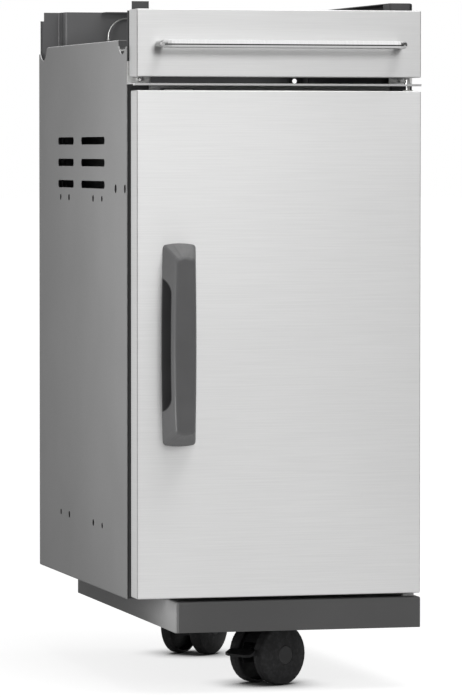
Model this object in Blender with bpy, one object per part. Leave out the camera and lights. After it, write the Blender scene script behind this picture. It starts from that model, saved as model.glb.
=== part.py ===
"""Side cabinet of an outdoor grill: folded steel body, hinged door, drawer and two swivel casters.

Lengths are in metres. In the cabinet's own measure x runs from the left side panel to the
right, y from the front of the corner posts to the back, and z up from the floor. The model's
origin is the middle of its outline on the floor.
"""
import math

import bmesh
import bpy
from mathutils import Vector

# Overall body
BODY_WIDTH = 0.381
BODY_DEPTH = 0.533
BODY_TOP = 0.889
PANEL_BOTTOM = 0.120
SEAT_GAP = 0.0003

# Side panels
PANEL_SHEET = 0.0010
LEFT_PANEL_DROP = 0.049
PANEL_FLANGE = 0.012
PANEL_BEND = 0.0012
CORNER_NOTCH_RADIUS = 0.025
CORNER_NOTCH_INSET = 0.0265
CORNER_NOTCH_DEPTH = 0.0185
CORNER_LIP_DROP = 0.009
CORNER_LIP_LENGTH = 0.009

# Vent slots of the left panel
VENT_HEIGHT = 0.010
VENT_PITCH = 0.029
VENT_DROP = 0.1293
VENT_ROWS = 3
VENT_FRONT_INSET = 0.127
VENT_REAR_INSET = 0.123
VENT_BRIDGE = 0.046
VENT_BRIDGE_SHIFT = 0.0235

# Fastening holes of both side panels, as distances from the front, the rear and the edges
LARGE_HOLE_DIAMETER = 0.011
LARGE_HOLES_Y = (0.0103, 0.0632)
LARGE_HOLES_DROP = 0.1916
SMALL_HOLE_DIAMETER = 0.0078
MEDIUM_HOLE_DIAMETER = 0.009
SMALL_HOLE_FRONT = 0.1433
SMALL_HOLE_REAR = 0.1387
MEDIUM_HOLE_FRONT = 0.1958
MEDIUM_HOLE_REAR = 0.1905
HOLE_ROW_RISE = 0.0848
HOLE_ROW_DROP = 0.2054

# Corner posts
POST_SHEET = 0.0012
POST_WIDTH = 0.0285
POST_DEPTH = 0.032
REAR_POST_LIP = 0.015
POST_BEND = 0.0015
POST_NOTCH_WIDTH = 0.0055
POST_NOTCH_HEIGHT = 0.012
REAR_HOLE_DIAMETER = 0.007
REAR_HOLE_INSET = 0.0135
REAR_HOLE_RISE = 0.0119
POST_WEB_DROP = 0.028

# Back panel, set forward of the rear faces of the posts
BACK_SHEET = 0.0010
BACK_RECESS = 0.032
BACK_SIDE_FLANGE = 0.019
BACK_TOP_FLANGE = 0.025
BACK_FLANGE_INSET = 0.052

# Floor panel
FLOOR_SHEET = 0.0012

# Base tray
BASE_LEFT_INSET = 0.0535
BASE_FRONT_OVERHANG = 0.0460
BASE_SHEET = 0.0015
BASE_UNDERSIDE = 0.080
BASE_EDGE = 0.0025
BASE_CORNER = 0.004
BASE_LIP = 0.010

# Caster channels under the base
CHANNEL_SHEET = 0.0012
CHANNEL_HEIGHT = 0.015
CHANNEL_TOP_WIDTH = 0.100
CHANNEL_BOTTOM_WIDTH = 0.072
CHANNEL_FLANGE = 0.012

# Casters
WHEEL_RADIUS = 0.040
WHEEL_WIDTH = 0.0175
WHEEL_TRACK = 0.048
WHEEL_WALL = 0.0035
WHEEL_SHOULDER = 0.004
WHEEL_DOME = 0.0022
WHEEL_HUB_RADIUS = 0.009
AXLE_RADIUS = 0.004
HUB_CAP_RADIUS = 0.0125
HUB_CAP_THICKNESS = 0.0022
RUNNING_GAP = 0.0004
HOUSING_SIDE_GAP = 0.0008
CASTER_TRAIL = 0.020
CASTER_FRONT_SHIFT = 0.0030
CASTER_REAR_SHIFT = -0.0035
CASTER_FRONT_Y = 0.0695
CASTER_REAR_INSET = 0.078
CASTER_TURN = (math.radians(28.5), math.radians(44.0))
STEM_RADIUS = 0.005
STEM_LENGTH = 0.042
STEM_THREAD = 0.0095
STEM_FLANGE_RADIUS = 0.013
STEM_FLANGE = 0.0025
STEM_NUT_ACROSS = 0.017
STEM_NUT_HEIGHT = 0.006
HOUSING_RADIUS = 0.034
HOUSING_FLAT = math.radians(-20.0)
SWIVEL_NECK_RADIUS = 0.0145
SWIVEL_HEAD_RADIUS = 0.023
SWIVEL_HEAD_HEIGHT = 0.014
PEDAL_PIVOT_OUT = 0.025
PEDAL_PIVOT_UP = 0.007
PEDAL_PIN_RADIUS = 0.002
PEDAL_BARREL_RADIUS = 0.0042
PEDAL_EAR = 0.004
PEDAL_TREAD_WIDTH = 0.048
PEDAL_TREAD_START = 0.0435
PEDAL_TREAD_END = 0.0545
PEDAL_DROP = 0.0065
PEDAL_THICKNESS = 0.0032

# Divider plate between the door and the drawer
PLATE_DROP = 0.1054
PLATE_SHEET = 0.0010
PLATE_OVERHANG = 0.0434
PLATE_HEM_HEIGHT = 0.0028
PLATE_HEM_DEPTH = 0.009
PLATE_REAR_FLANGE = 0.012

# Cross rail between the front posts
RAIL_SHEET = 0.0012
RAIL_HEIGHT = 0.025
RAIL_DEPTH = 0.024

# Door
FRONT_SIDE_GAP = 0.0020
DOOR_BOTTOM_GAP = 0.0051
DOOR_TOP_GAP = 0.0090
FRONT_FACE_Y = -0.048
DOOR_REAR_Y = -0.014
SKIN_SHEET = 0.0008
SKIN_EDGE = 0.0012
SKIN_CORNER = 0.0015
SKIN_LIP = 0.012
LINER_SHEET = 0.0008
LINER_INSET = 0.0015
HINGE_INSET = 0.0135
HINGE_Y = -0.026
HINGE_PIN_RADIUS = 0.003
HINGE_PIN_REACH = 0.014
HINGE_PIN_RISE = 0.0065
HINGE_COLLAR_RADIUS = 0.0046
HINGE_COLLAR = 0.0012
HINGE_CLEARANCE = 0.0003
BUSH_WALL = 0.0015
BUSH_FLANGE_RADIUS = 0.0065
BUSH_FLANGE = 0.0012
HINGE_BLOCK_SIZE = 0.016
HINGE_BLOCK_HEIGHT = 0.003

# Magnetic catch of the door
CATCH_CENTRE_X = 0.065
CATCH_LENGTH = 0.042
CATCH_HEIGHT = 0.014
CATCH_DROP = 0.005
STRIKE_LENGTH = 0.040
STRIKE_HEIGHT = 0.012
STRIKE_THICKNESS = 0.0010

# Door handle
GRIP_CENTRE_X = 0.05735
GRIP_HEIGHT = 0.2568
GRIP_DEPTH = 0.040
GRIP_BACK_WIDTH = 0.0433
GRIP_FRONT_WIDTH = 0.0245
GRIP_FRONT_SHIFT = -0.0014
GRIP_END_SLOPE = 0.017
GRIP_LEFT_BULGE = 0.0020
GRIP_RIGHT_BULGE = 0.0012
GRIP_END_BOW = 0.0015
GRIP_CORNER = 0.005
GRIP_FRONT_EDGE = 0.0028
POCKET_HEIGHT = 0.171
POCKET_DEPTH_Y = 0.0295
POCKET_START_Y = 0.0012
POCKET_REACH_X = 0.029
POCKET_ARC_DEPTH = 0.0485
POCKET_ARC_HEIGHT = 0.022
POCKET_LINER = 0.0012
GRIP_SCREW_SPREAD = 0.212
GRIP_SCREW_RADIUS = 0.002
GRIP_SCREW_HEAD_RADIUS = 0.0042
GRIP_SCREW_HEAD = 0.0024
GRIP_SCREW_REACH = 0.012

# Drawer
DRAWER_BOTTOM_GAP = 0.0081
DRAWER_HEIGHT = 0.0865
DRAWER_REAR_Y = -0.0050
DRAWER_BOX_RISE = 0.0103
DRAWER_BOX_HEIGHT = 0.032
DRAWER_BOX_REAR_INSET = 0.093
DRAWER_BOX_SHEET = 0.0010
DRAWER_BOX_EDGE = 0.0020
DRAWER_BOX_CORNER = 0.004
DRAWER_TRAVEL = 0.300

# Drawer handle
BAR_RADIUS = 0.00525
BAR_END_INSET = 0.0263
BAR_DROP = 0.0017
BAR_STANDOFF = 0.030
BAR_BEND = 0.012
BAR_SCREW_RADIUS = 0.002
BAR_SCREW_HEAD_RADIUS = 0.0042
BAR_SCREW_HEAD = 0.0024
BAR_SCREW_REACH = 0.010

# Slides and the rails that carry them
SLIDE_RAIL_SHEET = 0.0015
SLIDE_RAIL_RISE = 0.0179
SLIDE_RAIL_HEIGHT = 0.0105
SLIDE_RAIL_REAR_TAB = 0.015
SLIDE_SHEET = 0.0012
SLIDE_HEIGHT = 0.025
SLIDE_WIDTH = 0.0105
SLIDE_LIP = 0.004
SLIDE_BEND = 0.0008
SLIDE_CLEARANCE = 0.0004
SLIDE_START = 0.002
SLIDE_REAR_INSET = 0.083
SLIDE_MEMBER_WIDTH = 0.009
BRACKET_SCREW_INSET = 0.0162
BRACKET_SCREW_RISE = 0.0069
BRACKET_SCREW_RADIUS = 0.0025
BRACKET_SCREW_HEAD_RADIUS = 0.005
BRACKET_SCREW_HEAD = 0.0022
BRACKET_SCREW_REACH = 0.007

# Wire hook on the back panel
HOOK_WIRE_RADIUS = 0.0012
HOOK_RADIUS = 0.026
HOOK_LEFT_X = 0.0890
HOOK_DROP = 0.0085
HOOK_BEAD_RADIUS = 0.0024
HOOK_STANDOFF = 0.010
HOOK_TIP = 0.0035
HOOK_FOOT_RADIUS = 0.003

# Smoothness of turned and bent shapes
BEND_STEPS = 2
HOLE_SIDES = 20
WHEEL_SIDES = 32
PIN_SIDES = 20

# Places that follow from the sizes above
PANEL_INSIDE = PANEL_SHEET + SEAT_GAP
POST_INNER = PANEL_INSIDE + POST_WIDTH
BASE_TOP = PANEL_BOTTOM - SEAT_GAP
LEFT_PANEL_TOP = BODY_TOP - LEFT_PANEL_DROP
VENT_TOP_CENTRE = LEFT_PANEL_TOP - VENT_DROP
VENT_BRIDGE_Y = BODY_DEPTH / 2.0 + VENT_BRIDGE_SHIFT
LARGE_HOLES_Z = LEFT_PANEL_TOP - LARGE_HOLES_DROP
SMALL_HOLES_Y = (SMALL_HOLE_FRONT, BODY_DEPTH - SMALL_HOLE_REAR)
MEDIUM_HOLES_Y = (MEDIUM_HOLE_FRONT, BODY_DEPTH - MEDIUM_HOLE_REAR)
HOLE_ROWS_Z = (PANEL_BOTTOM + HOLE_ROW_RISE, LEFT_PANEL_TOP - HOLE_ROW_DROP)
PLATE_TOP = BODY_TOP - PLATE_DROP
REAR_HOLE_Z = PLATE_TOP + REAR_HOLE_RISE
POST_WEB_TOP = LEFT_PANEL_TOP - POST_WEB_DROP
HINGE_X = BODY_WIDTH - HINGE_INSET
DOOR_BOTTOM = BASE_TOP + DOOR_BOTTOM_GAP
DOOR_TOP = PLATE_TOP - DOOR_TOP_GAP
GRIP_CENTRE_Z = (DOOR_BOTTOM + DOOR_TOP) / 2.0
DRAWER_BOTTOM = PLATE_TOP + DRAWER_BOTTOM_GAP
DRAWER_TOP = DRAWER_BOTTOM + DRAWER_HEIGHT
DRAWER_BOX_BOTTOM = DRAWER_BOTTOM + DRAWER_BOX_RISE
DRAWER_BOX_TOP = DRAWER_BOX_BOTTOM + DRAWER_BOX_HEIGHT
DRAWER_BOX_BACK = BODY_DEPTH - DRAWER_BOX_REAR_INSET
SLIDE_END = BODY_DEPTH - SLIDE_REAR_INSET
SLIDE_RAIL_BOTTOM = PLATE_TOP + SLIDE_RAIL_RISE
SLIDE_RAIL_TOP = SLIDE_RAIL_BOTTOM + SLIDE_RAIL_HEIGHT
BRACKET_SCREW_Z = PLATE_TOP + BRACKET_SCREW_RISE
HOOK_TOP_Z = BODY_TOP - HOOK_DROP
FLOOR_BOTTOM = PANEL_BOTTOM + PANEL_SHEET + SEAT_GAP
POST_BOTTOM = FLOOR_BOTTOM + FLOOR_SHEET + SEAT_GAP
BACK_Y = BODY_DEPTH - BACK_RECESS
GRIP_FRONT_Y = FRONT_FACE_Y - SEAT_GAP - GRIP_DEPTH
OUTLINE_MIDDLE_Y = (GRIP_FRONT_Y + BODY_DEPTH) / 2.0
SLIDE_RAIL_X = POST_INNER + SEAT_GAP + SLIDE_RAIL_SHEET
SLIDE_X = SLIDE_RAIL_X + SEAT_GAP
DRAWER_BOX_X = SLIDE_X + SLIDE_WIDTH + SLIDE_CLEARANCE + SLIDE_SHEET + SEAT_GAP
BASE_MIDDLE_X = (BASE_LEFT_INSET + BODY_WIDTH) / 2.0
CASTER_X = (BASE_MIDDLE_X + CASTER_FRONT_SHIFT, BASE_MIDDLE_X + CASTER_REAR_SHIFT)
CASTER_REAR_Y = BODY_DEPTH - CASTER_REAR_INSET
CHANNEL_TOP = BASE_TOP - BASE_SHEET - SEAT_GAP
CHANNEL_FACE = CHANNEL_TOP - CHANNEL_HEIGHT
STEM_SHOULDER = CHANNEL_FACE - SEAT_GAP
STEM_FLANGE_BOTTOM = STEM_SHOULDER - STEM_FLANGE
BAR_CENTRE_Z = (DRAWER_BOTTOM + DRAWER_TOP) / 2.0 - BAR_DROP
HINGE_BLOCK_BOTTOM = BASE_TOP + SEAT_GAP
HINGE_BLOCK_TOP = HINGE_BLOCK_BOTTOM + HINGE_BLOCK_HEIGHT


# Finishes: colour, roughness, metallic
STAINLESS = ((0.62, 0.62, 0.61), 0.32, 1.0)
POLISHED = ((0.70, 0.70, 0.70), 0.10, 1.0)
GREY_PANEL = ((0.22, 0.22, 0.22), 0.45, 0.3)
DARK_STEEL = ((0.045, 0.045, 0.047), 0.55, 0.1)
BASE_GREY = ((0.10, 0.10, 0.10), 0.50, 0.1)
ZINC = ((0.50, 0.50, 0.49), 0.38, 0.9)
GRIP_PLASTIC = ((0.13, 0.13, 0.13), 0.42, 0.0)
BLACK_PLASTIC = ((0.015, 0.015, 0.016), 0.50, 0.0)
NYLON = ((0.75, 0.75, 0.72), 0.55, 0.0)


def clear_scene():
    """Remove whatever the open file holds."""
    for item in list(bpy.data.objects):
        bpy.data.objects.remove(item, do_unlink=True)


def make_material(name, finish):
    """One Principled material with a plain colour."""
    colour, roughness, metallic = finish
    material = bpy.data.materials.new(name)
    material.use_nodes = True
    shader = material.node_tree.nodes["Principled BSDF"]
    shader.inputs["Base Color"].default_value = (*colour, 1.0)
    shader.inputs["Roughness"].default_value = roughness
    shader.inputs["Metallic"].default_value = metallic
    material.diffuse_color = (*colour, 1.0)
    return material


def make_axis(name, place, parent=None, turn=0.0):
    """An empty that carries the pieces of one moving group; its origin lies on the joint."""
    axis = bpy.data.objects.new(name, None)
    bpy.context.collection.objects.link(axis)
    axis.empty_display_size = 0.02
    axis.parent = parent
    axis.location = place
    axis.rotation_euler = (0.0, 0.0, turn)
    return axis


def make_piece(name, mesh, finish, axis, base=(0.0, 0.0, 0.0), smooth=None):
    """Turn a built mesh into a named piece, with its base point at the axis."""
    bmesh.ops.translate(mesh, vec=-Vector(base), verts=mesh.verts)
    bmesh.ops.recalc_face_normals(mesh, faces=mesh.faces)
    data = bpy.data.meshes.new(name)
    mesh.to_mesh(data)
    mesh.free()
    piece = bpy.data.objects.new(name, data)
    bpy.context.collection.objects.link(piece)
    piece.parent = axis
    data.materials.append(make_material(name + "_finish", finish))
    if smooth is not None:
        data.shade_smooth()
        data.set_sharp_from_angle(angle=math.radians(smooth))
    return piece


def shape_with(piece, mesh, operation, base=(0.0, 0.0, 0.0)):
    """Cut the piece with a mesh, or join the mesh to it, by an exact Boolean."""
    bmesh.ops.translate(mesh, vec=-Vector(base), verts=mesh.verts)
    bmesh.ops.recalc_face_normals(mesh, faces=mesh.faces)
    name = piece.name + "_" + operation.lower() + "_" + str(len(piece.modifiers))
    data = bpy.data.meshes.new(name)
    mesh.to_mesh(data)
    mesh.free()
    tool = bpy.data.objects.new(name, data)
    bpy.context.collection.objects.link(tool)
    tool.parent = piece.parent
    tool.hide_render = True
    tool.display_type = "WIRE"
    step = piece.modifiers.new(name, "BOOLEAN")
    step.operation = operation
    step.solver = "EXACT"
    step.object = tool


def prism(mesh, outline, axis, low, high):
    """Closed straight solid whose outline lies in the other two axes, in x, y, z order."""
    def corner(point, level):
        place = [point[0], point[1]]
        place.insert(axis, level)
        return place
    lower = [mesh.verts.new(corner(point, low)) for point in outline]
    upper = [mesh.verts.new(corner(point, high)) for point in outline]
    mesh.faces.new(lower[::-1])
    mesh.faces.new(upper)
    for index in range(len(outline)):
        following = (index + 1) % len(outline)
        mesh.faces.new((lower[index], lower[following], upper[following], upper[index]))


def block(mesh, low, high):
    """Rectangular solid between two corners."""
    outline = [(low[0], low[1]), (high[0], low[1]), (high[0], high[1]), (low[0], high[1])]
    prism(mesh, outline, 2, low[2], high[2])


def circle(centre, radius, sides, start=0.0):
    """Points of a regular polygon around a centre."""
    step = 2.0 * math.pi / sides
    return [(centre[0] + radius * math.cos(start + step * index),
             centre[1] + radius * math.sin(start + step * index)) for index in range(sides)]


def fillet(points, radii, closed, steps=BEND_STEPS):
    """Round the corners of an outline or of an open path."""
    points = [Vector(point) for point in points]
    result = []
    last = len(points) - 1
    for index, point in enumerate(points):
        radius = radii[index] if isinstance(radii, (list, tuple)) else radii
        if radius <= 0.0 or (not closed and index in (0, last)):
            result.append(point)
            continue
        before = (points[index - 1] - point).normalized()
        after = (points[(index + 1) % len(points)] - point).normalized()
        half = before.angle(after) / 2.0
        centre = point + (before + after).normalized() * (radius / math.sin(half))
        first = point + before * (radius / math.tan(half)) - centre
        final = point + after * (radius / math.tan(half)) - centre
        start = math.atan2(first.y, first.x)
        sweep = math.atan2(final.y, final.x) - start
        sweep = (sweep + math.pi) % (2.0 * math.pi) - math.pi
        for step in range(steps + 1):
            angle = start + sweep * step / steps
            result.append(centre + Vector((math.cos(angle), math.sin(angle))) * radius)
    return result


def rounded_rectangle(low, high, radius, steps=BEND_STEPS):
    """Rectangle outline with round corners."""
    corners = [(low[0], low[1]), (high[0], low[1]), (high[0], high[1]), (low[0], high[1])]
    return fillet(corners, radius, True, steps)


def folded_sheet(path, thickness, bend):
    """Outline of a bent sheet whose outer face follows the path and which lies on its left."""
    points = [Vector(point) for point in path]
    directions = [(b - a).normalized() for a, b in zip(points, points[1:])]
    normals = [Vector((-way.y, way.x)) for way in directions]
    inner = []
    outer_radii = []
    inner_radii = []
    for index, point in enumerate(points):
        before = normals[max(index - 1, 0)]
        after = normals[min(index, len(normals) - 1)]
        miter = (before + after) / (1.0 + before.dot(after))
        inner.append(point + miter * thickness)
        turn = directions[max(index - 1, 0)].cross(directions[min(index, len(directions) - 1)])
        outer_radii.append(bend + thickness if turn > 0.0 else bend)
        inner_radii.append(bend if turn > 0.0 else bend + thickness)
    outer_side = fillet(points, outer_radii, False)
    inner_side = fillet(inner, inner_radii, False)
    return outer_side + inner_side[::-1]


def loft(mesh, rings):
    """Closed solid through rings that have equal numbers of points."""
    rows = [[mesh.verts.new(point) for point in ring] for ring in rings]
    count = len(rows[0])
    for lower, upper in zip(rows, rows[1:]):
        for index in range(count):
            following = (index + 1) % count
            mesh.faces.new((lower[index], lower[following], upper[following], upper[index]))
    mesh.faces.new(rows[0][::-1])
    mesh.faces.new(rows[-1])


def pan(mesh, low, high, axis, open_side, thickness, edge, corner, lip=0.0):
    """Sheet pan with walls, open towards one side of an axis, with an optional inward lip."""
    across = [index for index in range(3) if index != axis]
    closed_level = low[axis] if open_side > 0 else high[axis]
    open_level = high[axis] if open_side > 0 else low[axis]

    def ring(inset, level):
        inner_low = [low[index] + inset for index in across]
        inner_high = [high[index] - inset for index in across]
        outline = rounded_rectangle(inner_low, inner_high, max(corner - inset, 0.0002))
        points = []
        for point in outline:
            place = [point[0], point[1]]
            place.insert(axis, level)
            points.append(place)
        return points

    rings = []
    inner_edge = max(edge - thickness, 0.0)
    for step in range(BEND_STEPS + 1):
        angle = math.pi / 2.0 * step / BEND_STEPS
        inset = edge * (1.0 - math.sin(angle))
        rings.append(ring(inset, closed_level + open_side * edge * (1.0 - math.cos(angle))))
    rings.append(ring(0.0, open_level))
    if lip > 0.0:
        rings.append(ring(lip, open_level))
        rings.append(ring(lip, open_level - open_side * thickness))
        rings.append(ring(thickness, open_level - open_side * thickness))
    else:
        rings.append(ring(thickness, open_level))
    for step in range(BEND_STEPS, -1, -1):
        angle = math.pi / 2.0 * step / BEND_STEPS
        inset = thickness + inner_edge * (1.0 - math.sin(angle))
        level = closed_level + open_side * (thickness + inner_edge * (1.0 - math.cos(angle)))
        rings.append(ring(inset, level))
        if inner_edge == 0.0:
            break
    loft(mesh, rings)


def turned(mesh, profile, centre, axis, sides, closed=False):
    """Solid of revolution. The profile is (radius, level); a closed one leaves a bore."""
    others = [index for index in range(3) if index != axis]
    rings = []
    for radius, level in profile:
        if radius <= 0.0:
            place = list(centre)
            place[axis] += level
            rings.append([mesh.verts.new(place)])
            continue
        ring = []
        for point in circle((centre[others[0]], centre[others[1]]), radius, sides):
            place = [point[0], point[1]]
            place.insert(axis, centre[axis] + level)
            ring.append(mesh.verts.new(place))
        rings.append(ring)
    pairs = list(zip(rings, rings[1:]))
    if closed:
        pairs.append((rings[-1], rings[0]))
    for lower, upper in pairs:
        for index in range(sides):
            following = (index + 1) % sides
            corners = [lower[index % len(lower)], lower[following % len(lower)],
                       upper[following % len(upper)], upper[index % len(upper)]]
            unique = list(dict.fromkeys(corners))
            mesh.faces.new(unique)
    if not closed and len(rings[0]) > 1:
        mesh.faces.new(rings[0][::-1])
    if not closed and len(rings[-1]) > 1:
        mesh.faces.new(rings[-1])


def tube(mesh, path, radius, sides, side_way):
    """Round bar along a flat path; side_way is the direction square to the path's plane."""
    side_way = Vector(side_way)
    points = [Vector(point) for point in path]
    rings = []
    for index, point in enumerate(points):
        before = points[max(index - 1, 0)]
        after = points[min(index + 1, len(points) - 1)]
        way = (after - before).normalized()
        across = side_way.cross(way).normalized()
        ring = []
        for side in range(sides):
            angle = 2.0 * math.pi * side / sides
            ring.append(point + across * radius * math.cos(angle)
                        + side_way * radius * math.sin(angle))
        rings.append(ring)
    loft(mesh, rings)


def mirrored_x(outline):
    """Outline in x and another axis, mirrored to the cabinet's other side."""
    return [(BODY_WIDTH - point[0], point[1]) for point in outline]


def screw(mesh, place, axis, way, radius, head_radius, head, reach):
    """Domed screw. The head's underside is at place, and the shank runs along way."""
    dome = head * 0.55
    profile = [(0.0, -head), (head_radius * 0.62, -head * 0.86), (head_radius, -dome * 0.35),
               (head_radius, 0.0), (radius, 0.0), (radius, reach), (0.0, reach)]
    turned(mesh, [(size, level * way) for size, level in profile], place, axis, 12)


# Cabinet body

def panel_blank(top, top_flange, right_hand):
    """Side panel with its top and bottom edges folded inwards."""
    path = [(top_flange, top), (0.0, top), (0.0, PANEL_BOTTOM), (PANEL_FLANGE, PANEL_BOTTOM)]
    outline = folded_sheet(path, PANEL_SHEET, PANEL_BEND)
    mesh = bmesh.new()
    prism(mesh, mirrored_x(outline) if right_hand else outline, 1, 0.0, BODY_DEPTH)
    return mesh


def post_reliefs(mesh, top, top_flange, right_hand, clear_front, clear_back):
    """Spaces in the folded edges of a side panel, where the posts pass."""
    reach = PANEL_BEND + PANEL_SHEET + 0.0005
    for flange, low, high in ((PANEL_FLANGE, PANEL_BOTTOM - 0.001, PANEL_BOTTOM + reach),
                              (top_flange, top - reach, top + 0.001)):
        near = PANEL_SHEET + SEAT_GAP / 2.0
        far = flange + 0.002
        if right_hand:
            near, far = BODY_WIDTH - far, BODY_WIDTH - near
        block(mesh, (near, -0.001, low), (far, clear_front, high))
        block(mesh, (near, clear_back, low), (far, BODY_DEPTH + 0.001, high))


def panel_holes(mesh, right_hand):
    """Drills for the two rows of fastening holes and the front pair."""
    low, high = (-0.002, 0.004)
    if right_hand:
        low, high = (BODY_WIDTH - 0.004, BODY_WIDTH + 0.002)
    for level in HOLE_ROWS_Z:
        for place in SMALL_HOLES_Y:
            prism(mesh, circle((place, level), SMALL_HOLE_DIAMETER / 2.0, HOLE_SIDES), 0, low, high)
        for place in MEDIUM_HOLES_Y:
            prism(mesh, circle((place, level), MEDIUM_HOLE_DIAMETER / 2.0, HOLE_SIDES), 0, low, high)
    for place in LARGE_HOLES_Y:
        outline = circle((place, LARGE_HOLES_Z), LARGE_HOLE_DIAMETER / 2.0, HOLE_SIDES)
        prism(mesh, outline, 0, low, high)


def slot_outline(start, end, centre, height):
    """Straight slot with round ends."""
    radius = height / 2.0
    points = []
    for index in range(9):
        angle = -math.pi / 2.0 + math.pi * index / 8
        points.append((end - radius + radius * math.cos(angle), centre + radius * math.sin(angle)))
    for index in range(9):
        angle = math.pi / 2.0 + math.pi * index / 8
        points.append((start + radius + radius * math.cos(angle), centre + radius * math.sin(angle)))
    return points


def corner_notch(panel, middle, outer_end):
    """Round notch in a top corner, with the lip beyond it cut lower than the panel's top."""
    centre_z = LEFT_PANEL_TOP - CORNER_NOTCH_DEPTH + CORNER_NOTCH_RADIUS
    mesh = bmesh.new()
    prism(mesh, circle((middle, centre_z), CORNER_NOTCH_RADIUS, 32), 0, -0.002, 0.020)
    shape_with(panel, mesh, "DIFFERENCE")
    lip_top = LEFT_PANEL_TOP - CORNER_LIP_DROP
    inner_end = middle + (outer_end - middle) * 0.2
    low_y, high_y = sorted((inner_end, outer_end))
    mesh = bmesh.new()
    block(mesh, (-0.003, low_y, lip_top), (0.021, high_y, LEFT_PANEL_TOP + 0.030))
    shape_with(panel, mesh, "DIFFERENCE")


def build_left_panel(cabinet):
    """Left side panel with vents, fastening holes and notched top corners."""
    blank = panel_blank(LEFT_PANEL_TOP, PANEL_FLANGE, False)
    panel = make_piece("left_side_panel", blank, GREY_PANEL, cabinet)
    relief = bmesh.new()
    clear = POST_DEPTH + SEAT_GAP
    post_reliefs(relief, LEFT_PANEL_TOP, PANEL_FLANGE, False, clear, BODY_DEPTH - clear)
    shape_with(panel, relief, "DIFFERENCE")
    holes = bmesh.new()
    panel_holes(holes, False)
    for row in range(VENT_ROWS):
        level = VENT_TOP_CENTRE - VENT_PITCH * row
        for start, end in ((VENT_FRONT_INSET, VENT_BRIDGE_Y - VENT_BRIDGE / 2.0),
                           (VENT_BRIDGE_Y + VENT_BRIDGE / 2.0, BODY_DEPTH - VENT_REAR_INSET)):
            prism(holes, slot_outline(start, end, level, VENT_HEIGHT), 0, -0.002, 0.004)
    shape_with(panel, holes, "DIFFERENCE")
    for middle, outer_end in ((CORNER_NOTCH_INSET, -0.001),
                              (BODY_DEPTH - CORNER_NOTCH_INSET, BODY_DEPTH + 0.001)):
        corner_notch(panel, middle, outer_end)
    return panel


def build_right_panel(cabinet):
    """Right side panel, as tall as the posts, with a top flange as wide as they are."""
    blank = panel_blank(BODY_TOP, POST_INNER, True)
    panel = make_piece("right_side_panel", blank, DARK_STEEL, cabinet)
    relief = bmesh.new()
    clear = POST_DEPTH + SEAT_GAP
    post_reliefs(relief, BODY_TOP, POST_INNER, True, clear, BODY_DEPTH - clear)
    shape_with(panel, relief, "DIFFERENCE")
    holes = bmesh.new()
    panel_holes(holes, True)
    shape_with(panel, holes, "DIFFERENCE")
    return panel


def post_outline(lip):
    """Channel section of a front left post: web, front face and inner lip."""
    path = [(PANEL_INSIDE, POST_DEPTH), (PANEL_INSIDE, 0.0), (POST_INNER, 0.0), (POST_INNER, lip)]
    return folded_sheet(path, POST_SHEET, POST_BEND)


def build_posts(cabinet):
    """Four corner posts; over the left panel the left ones keep only flange and lip."""
    for depth_name, rear in (("front", False), ("rear", True)):
        for side_name, right_hand in (("left", False), ("right", True)):
            outline = post_outline(REAR_POST_LIP if rear else POST_DEPTH)
            if rear:
                outline = [(point[0], BODY_DEPTH - point[1]) for point in outline]
            if right_hand:
                outline = mirrored_x(outline)
            mesh = bmesh.new()
            prism(mesh, outline, 2, POST_BOTTOM, BODY_TOP)
            name = "post_" + depth_name + "_" + side_name
            post = make_piece(name, mesh, DARK_STEEL, cabinet)
            if not right_hand:
                cut = bmesh.new()
                block(cut, (-0.001, -0.001, BODY_TOP - POST_NOTCH_HEIGHT),
                      (PANEL_INSIDE + POST_NOTCH_WIDTH, BODY_DEPTH + 0.001, BODY_TOP + 0.001))
                shape_with(post, cut, "DIFFERENCE")
                near = POST_SHEET + POST_BEND + 0.0005
                far = POST_DEPTH + 0.001
                if rear:
                    near, far = BODY_DEPTH - far, BODY_DEPTH - near
                cut = bmesh.new()
                block(cut, (-0.001, near, POST_WEB_TOP),
                      (PANEL_INSIDE + POST_SHEET + 0.001, far, BODY_TOP + 0.002))
                shape_with(post, cut, "DIFFERENCE")
            drill = bmesh.new()
            if rear:
                inset, level, size = REAR_HOLE_INSET, REAR_HOLE_Z, REAR_HOLE_DIAMETER / 2.0
                low, high = BODY_DEPTH - 0.004, BODY_DEPTH + 0.002
            else:
                inset, level = BRACKET_SCREW_INSET, BRACKET_SCREW_Z
                size = BRACKET_SCREW_RADIUS + SEAT_GAP
                low, high = -0.002, 0.004
            place = BODY_WIDTH - inset if right_hand else inset
            prism(drill, circle((place, level), size, 12), 1, low, high)
            shape_with(post, drill, "DIFFERENCE")


def build_back_panel(cabinet):
    """Back panel between the lips of the rear posts, with a forward top flange."""
    left = POST_INNER + SEAT_GAP
    right = BODY_WIDTH - left
    rear = BACK_Y + BACK_SIDE_FLANGE
    path = [(left, rear), (left, BACK_Y), (right, BACK_Y), (right, rear)]
    mesh = bmesh.new()
    prism(mesh, folded_sheet(path, BACK_SHEET, POST_BEND), 2, POST_BOTTOM, BODY_TOP)
    panel = make_piece("back_panel", mesh, DARK_STEEL, cabinet)
    flange = bmesh.new()
    profile = folded_sheet([(BACK_Y - BACK_TOP_FLANGE, BODY_TOP), (BACK_Y + BACK_SHEET, BODY_TOP),
                            (BACK_Y + BACK_SHEET, BODY_TOP - 0.006)][::-1], BACK_SHEET, PANEL_BEND)
    prism(flange, profile, 0, left + BACK_FLANGE_INSET, right - BACK_FLANGE_INSET)
    shape_with(panel, flange, "UNION")
    return panel


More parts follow.
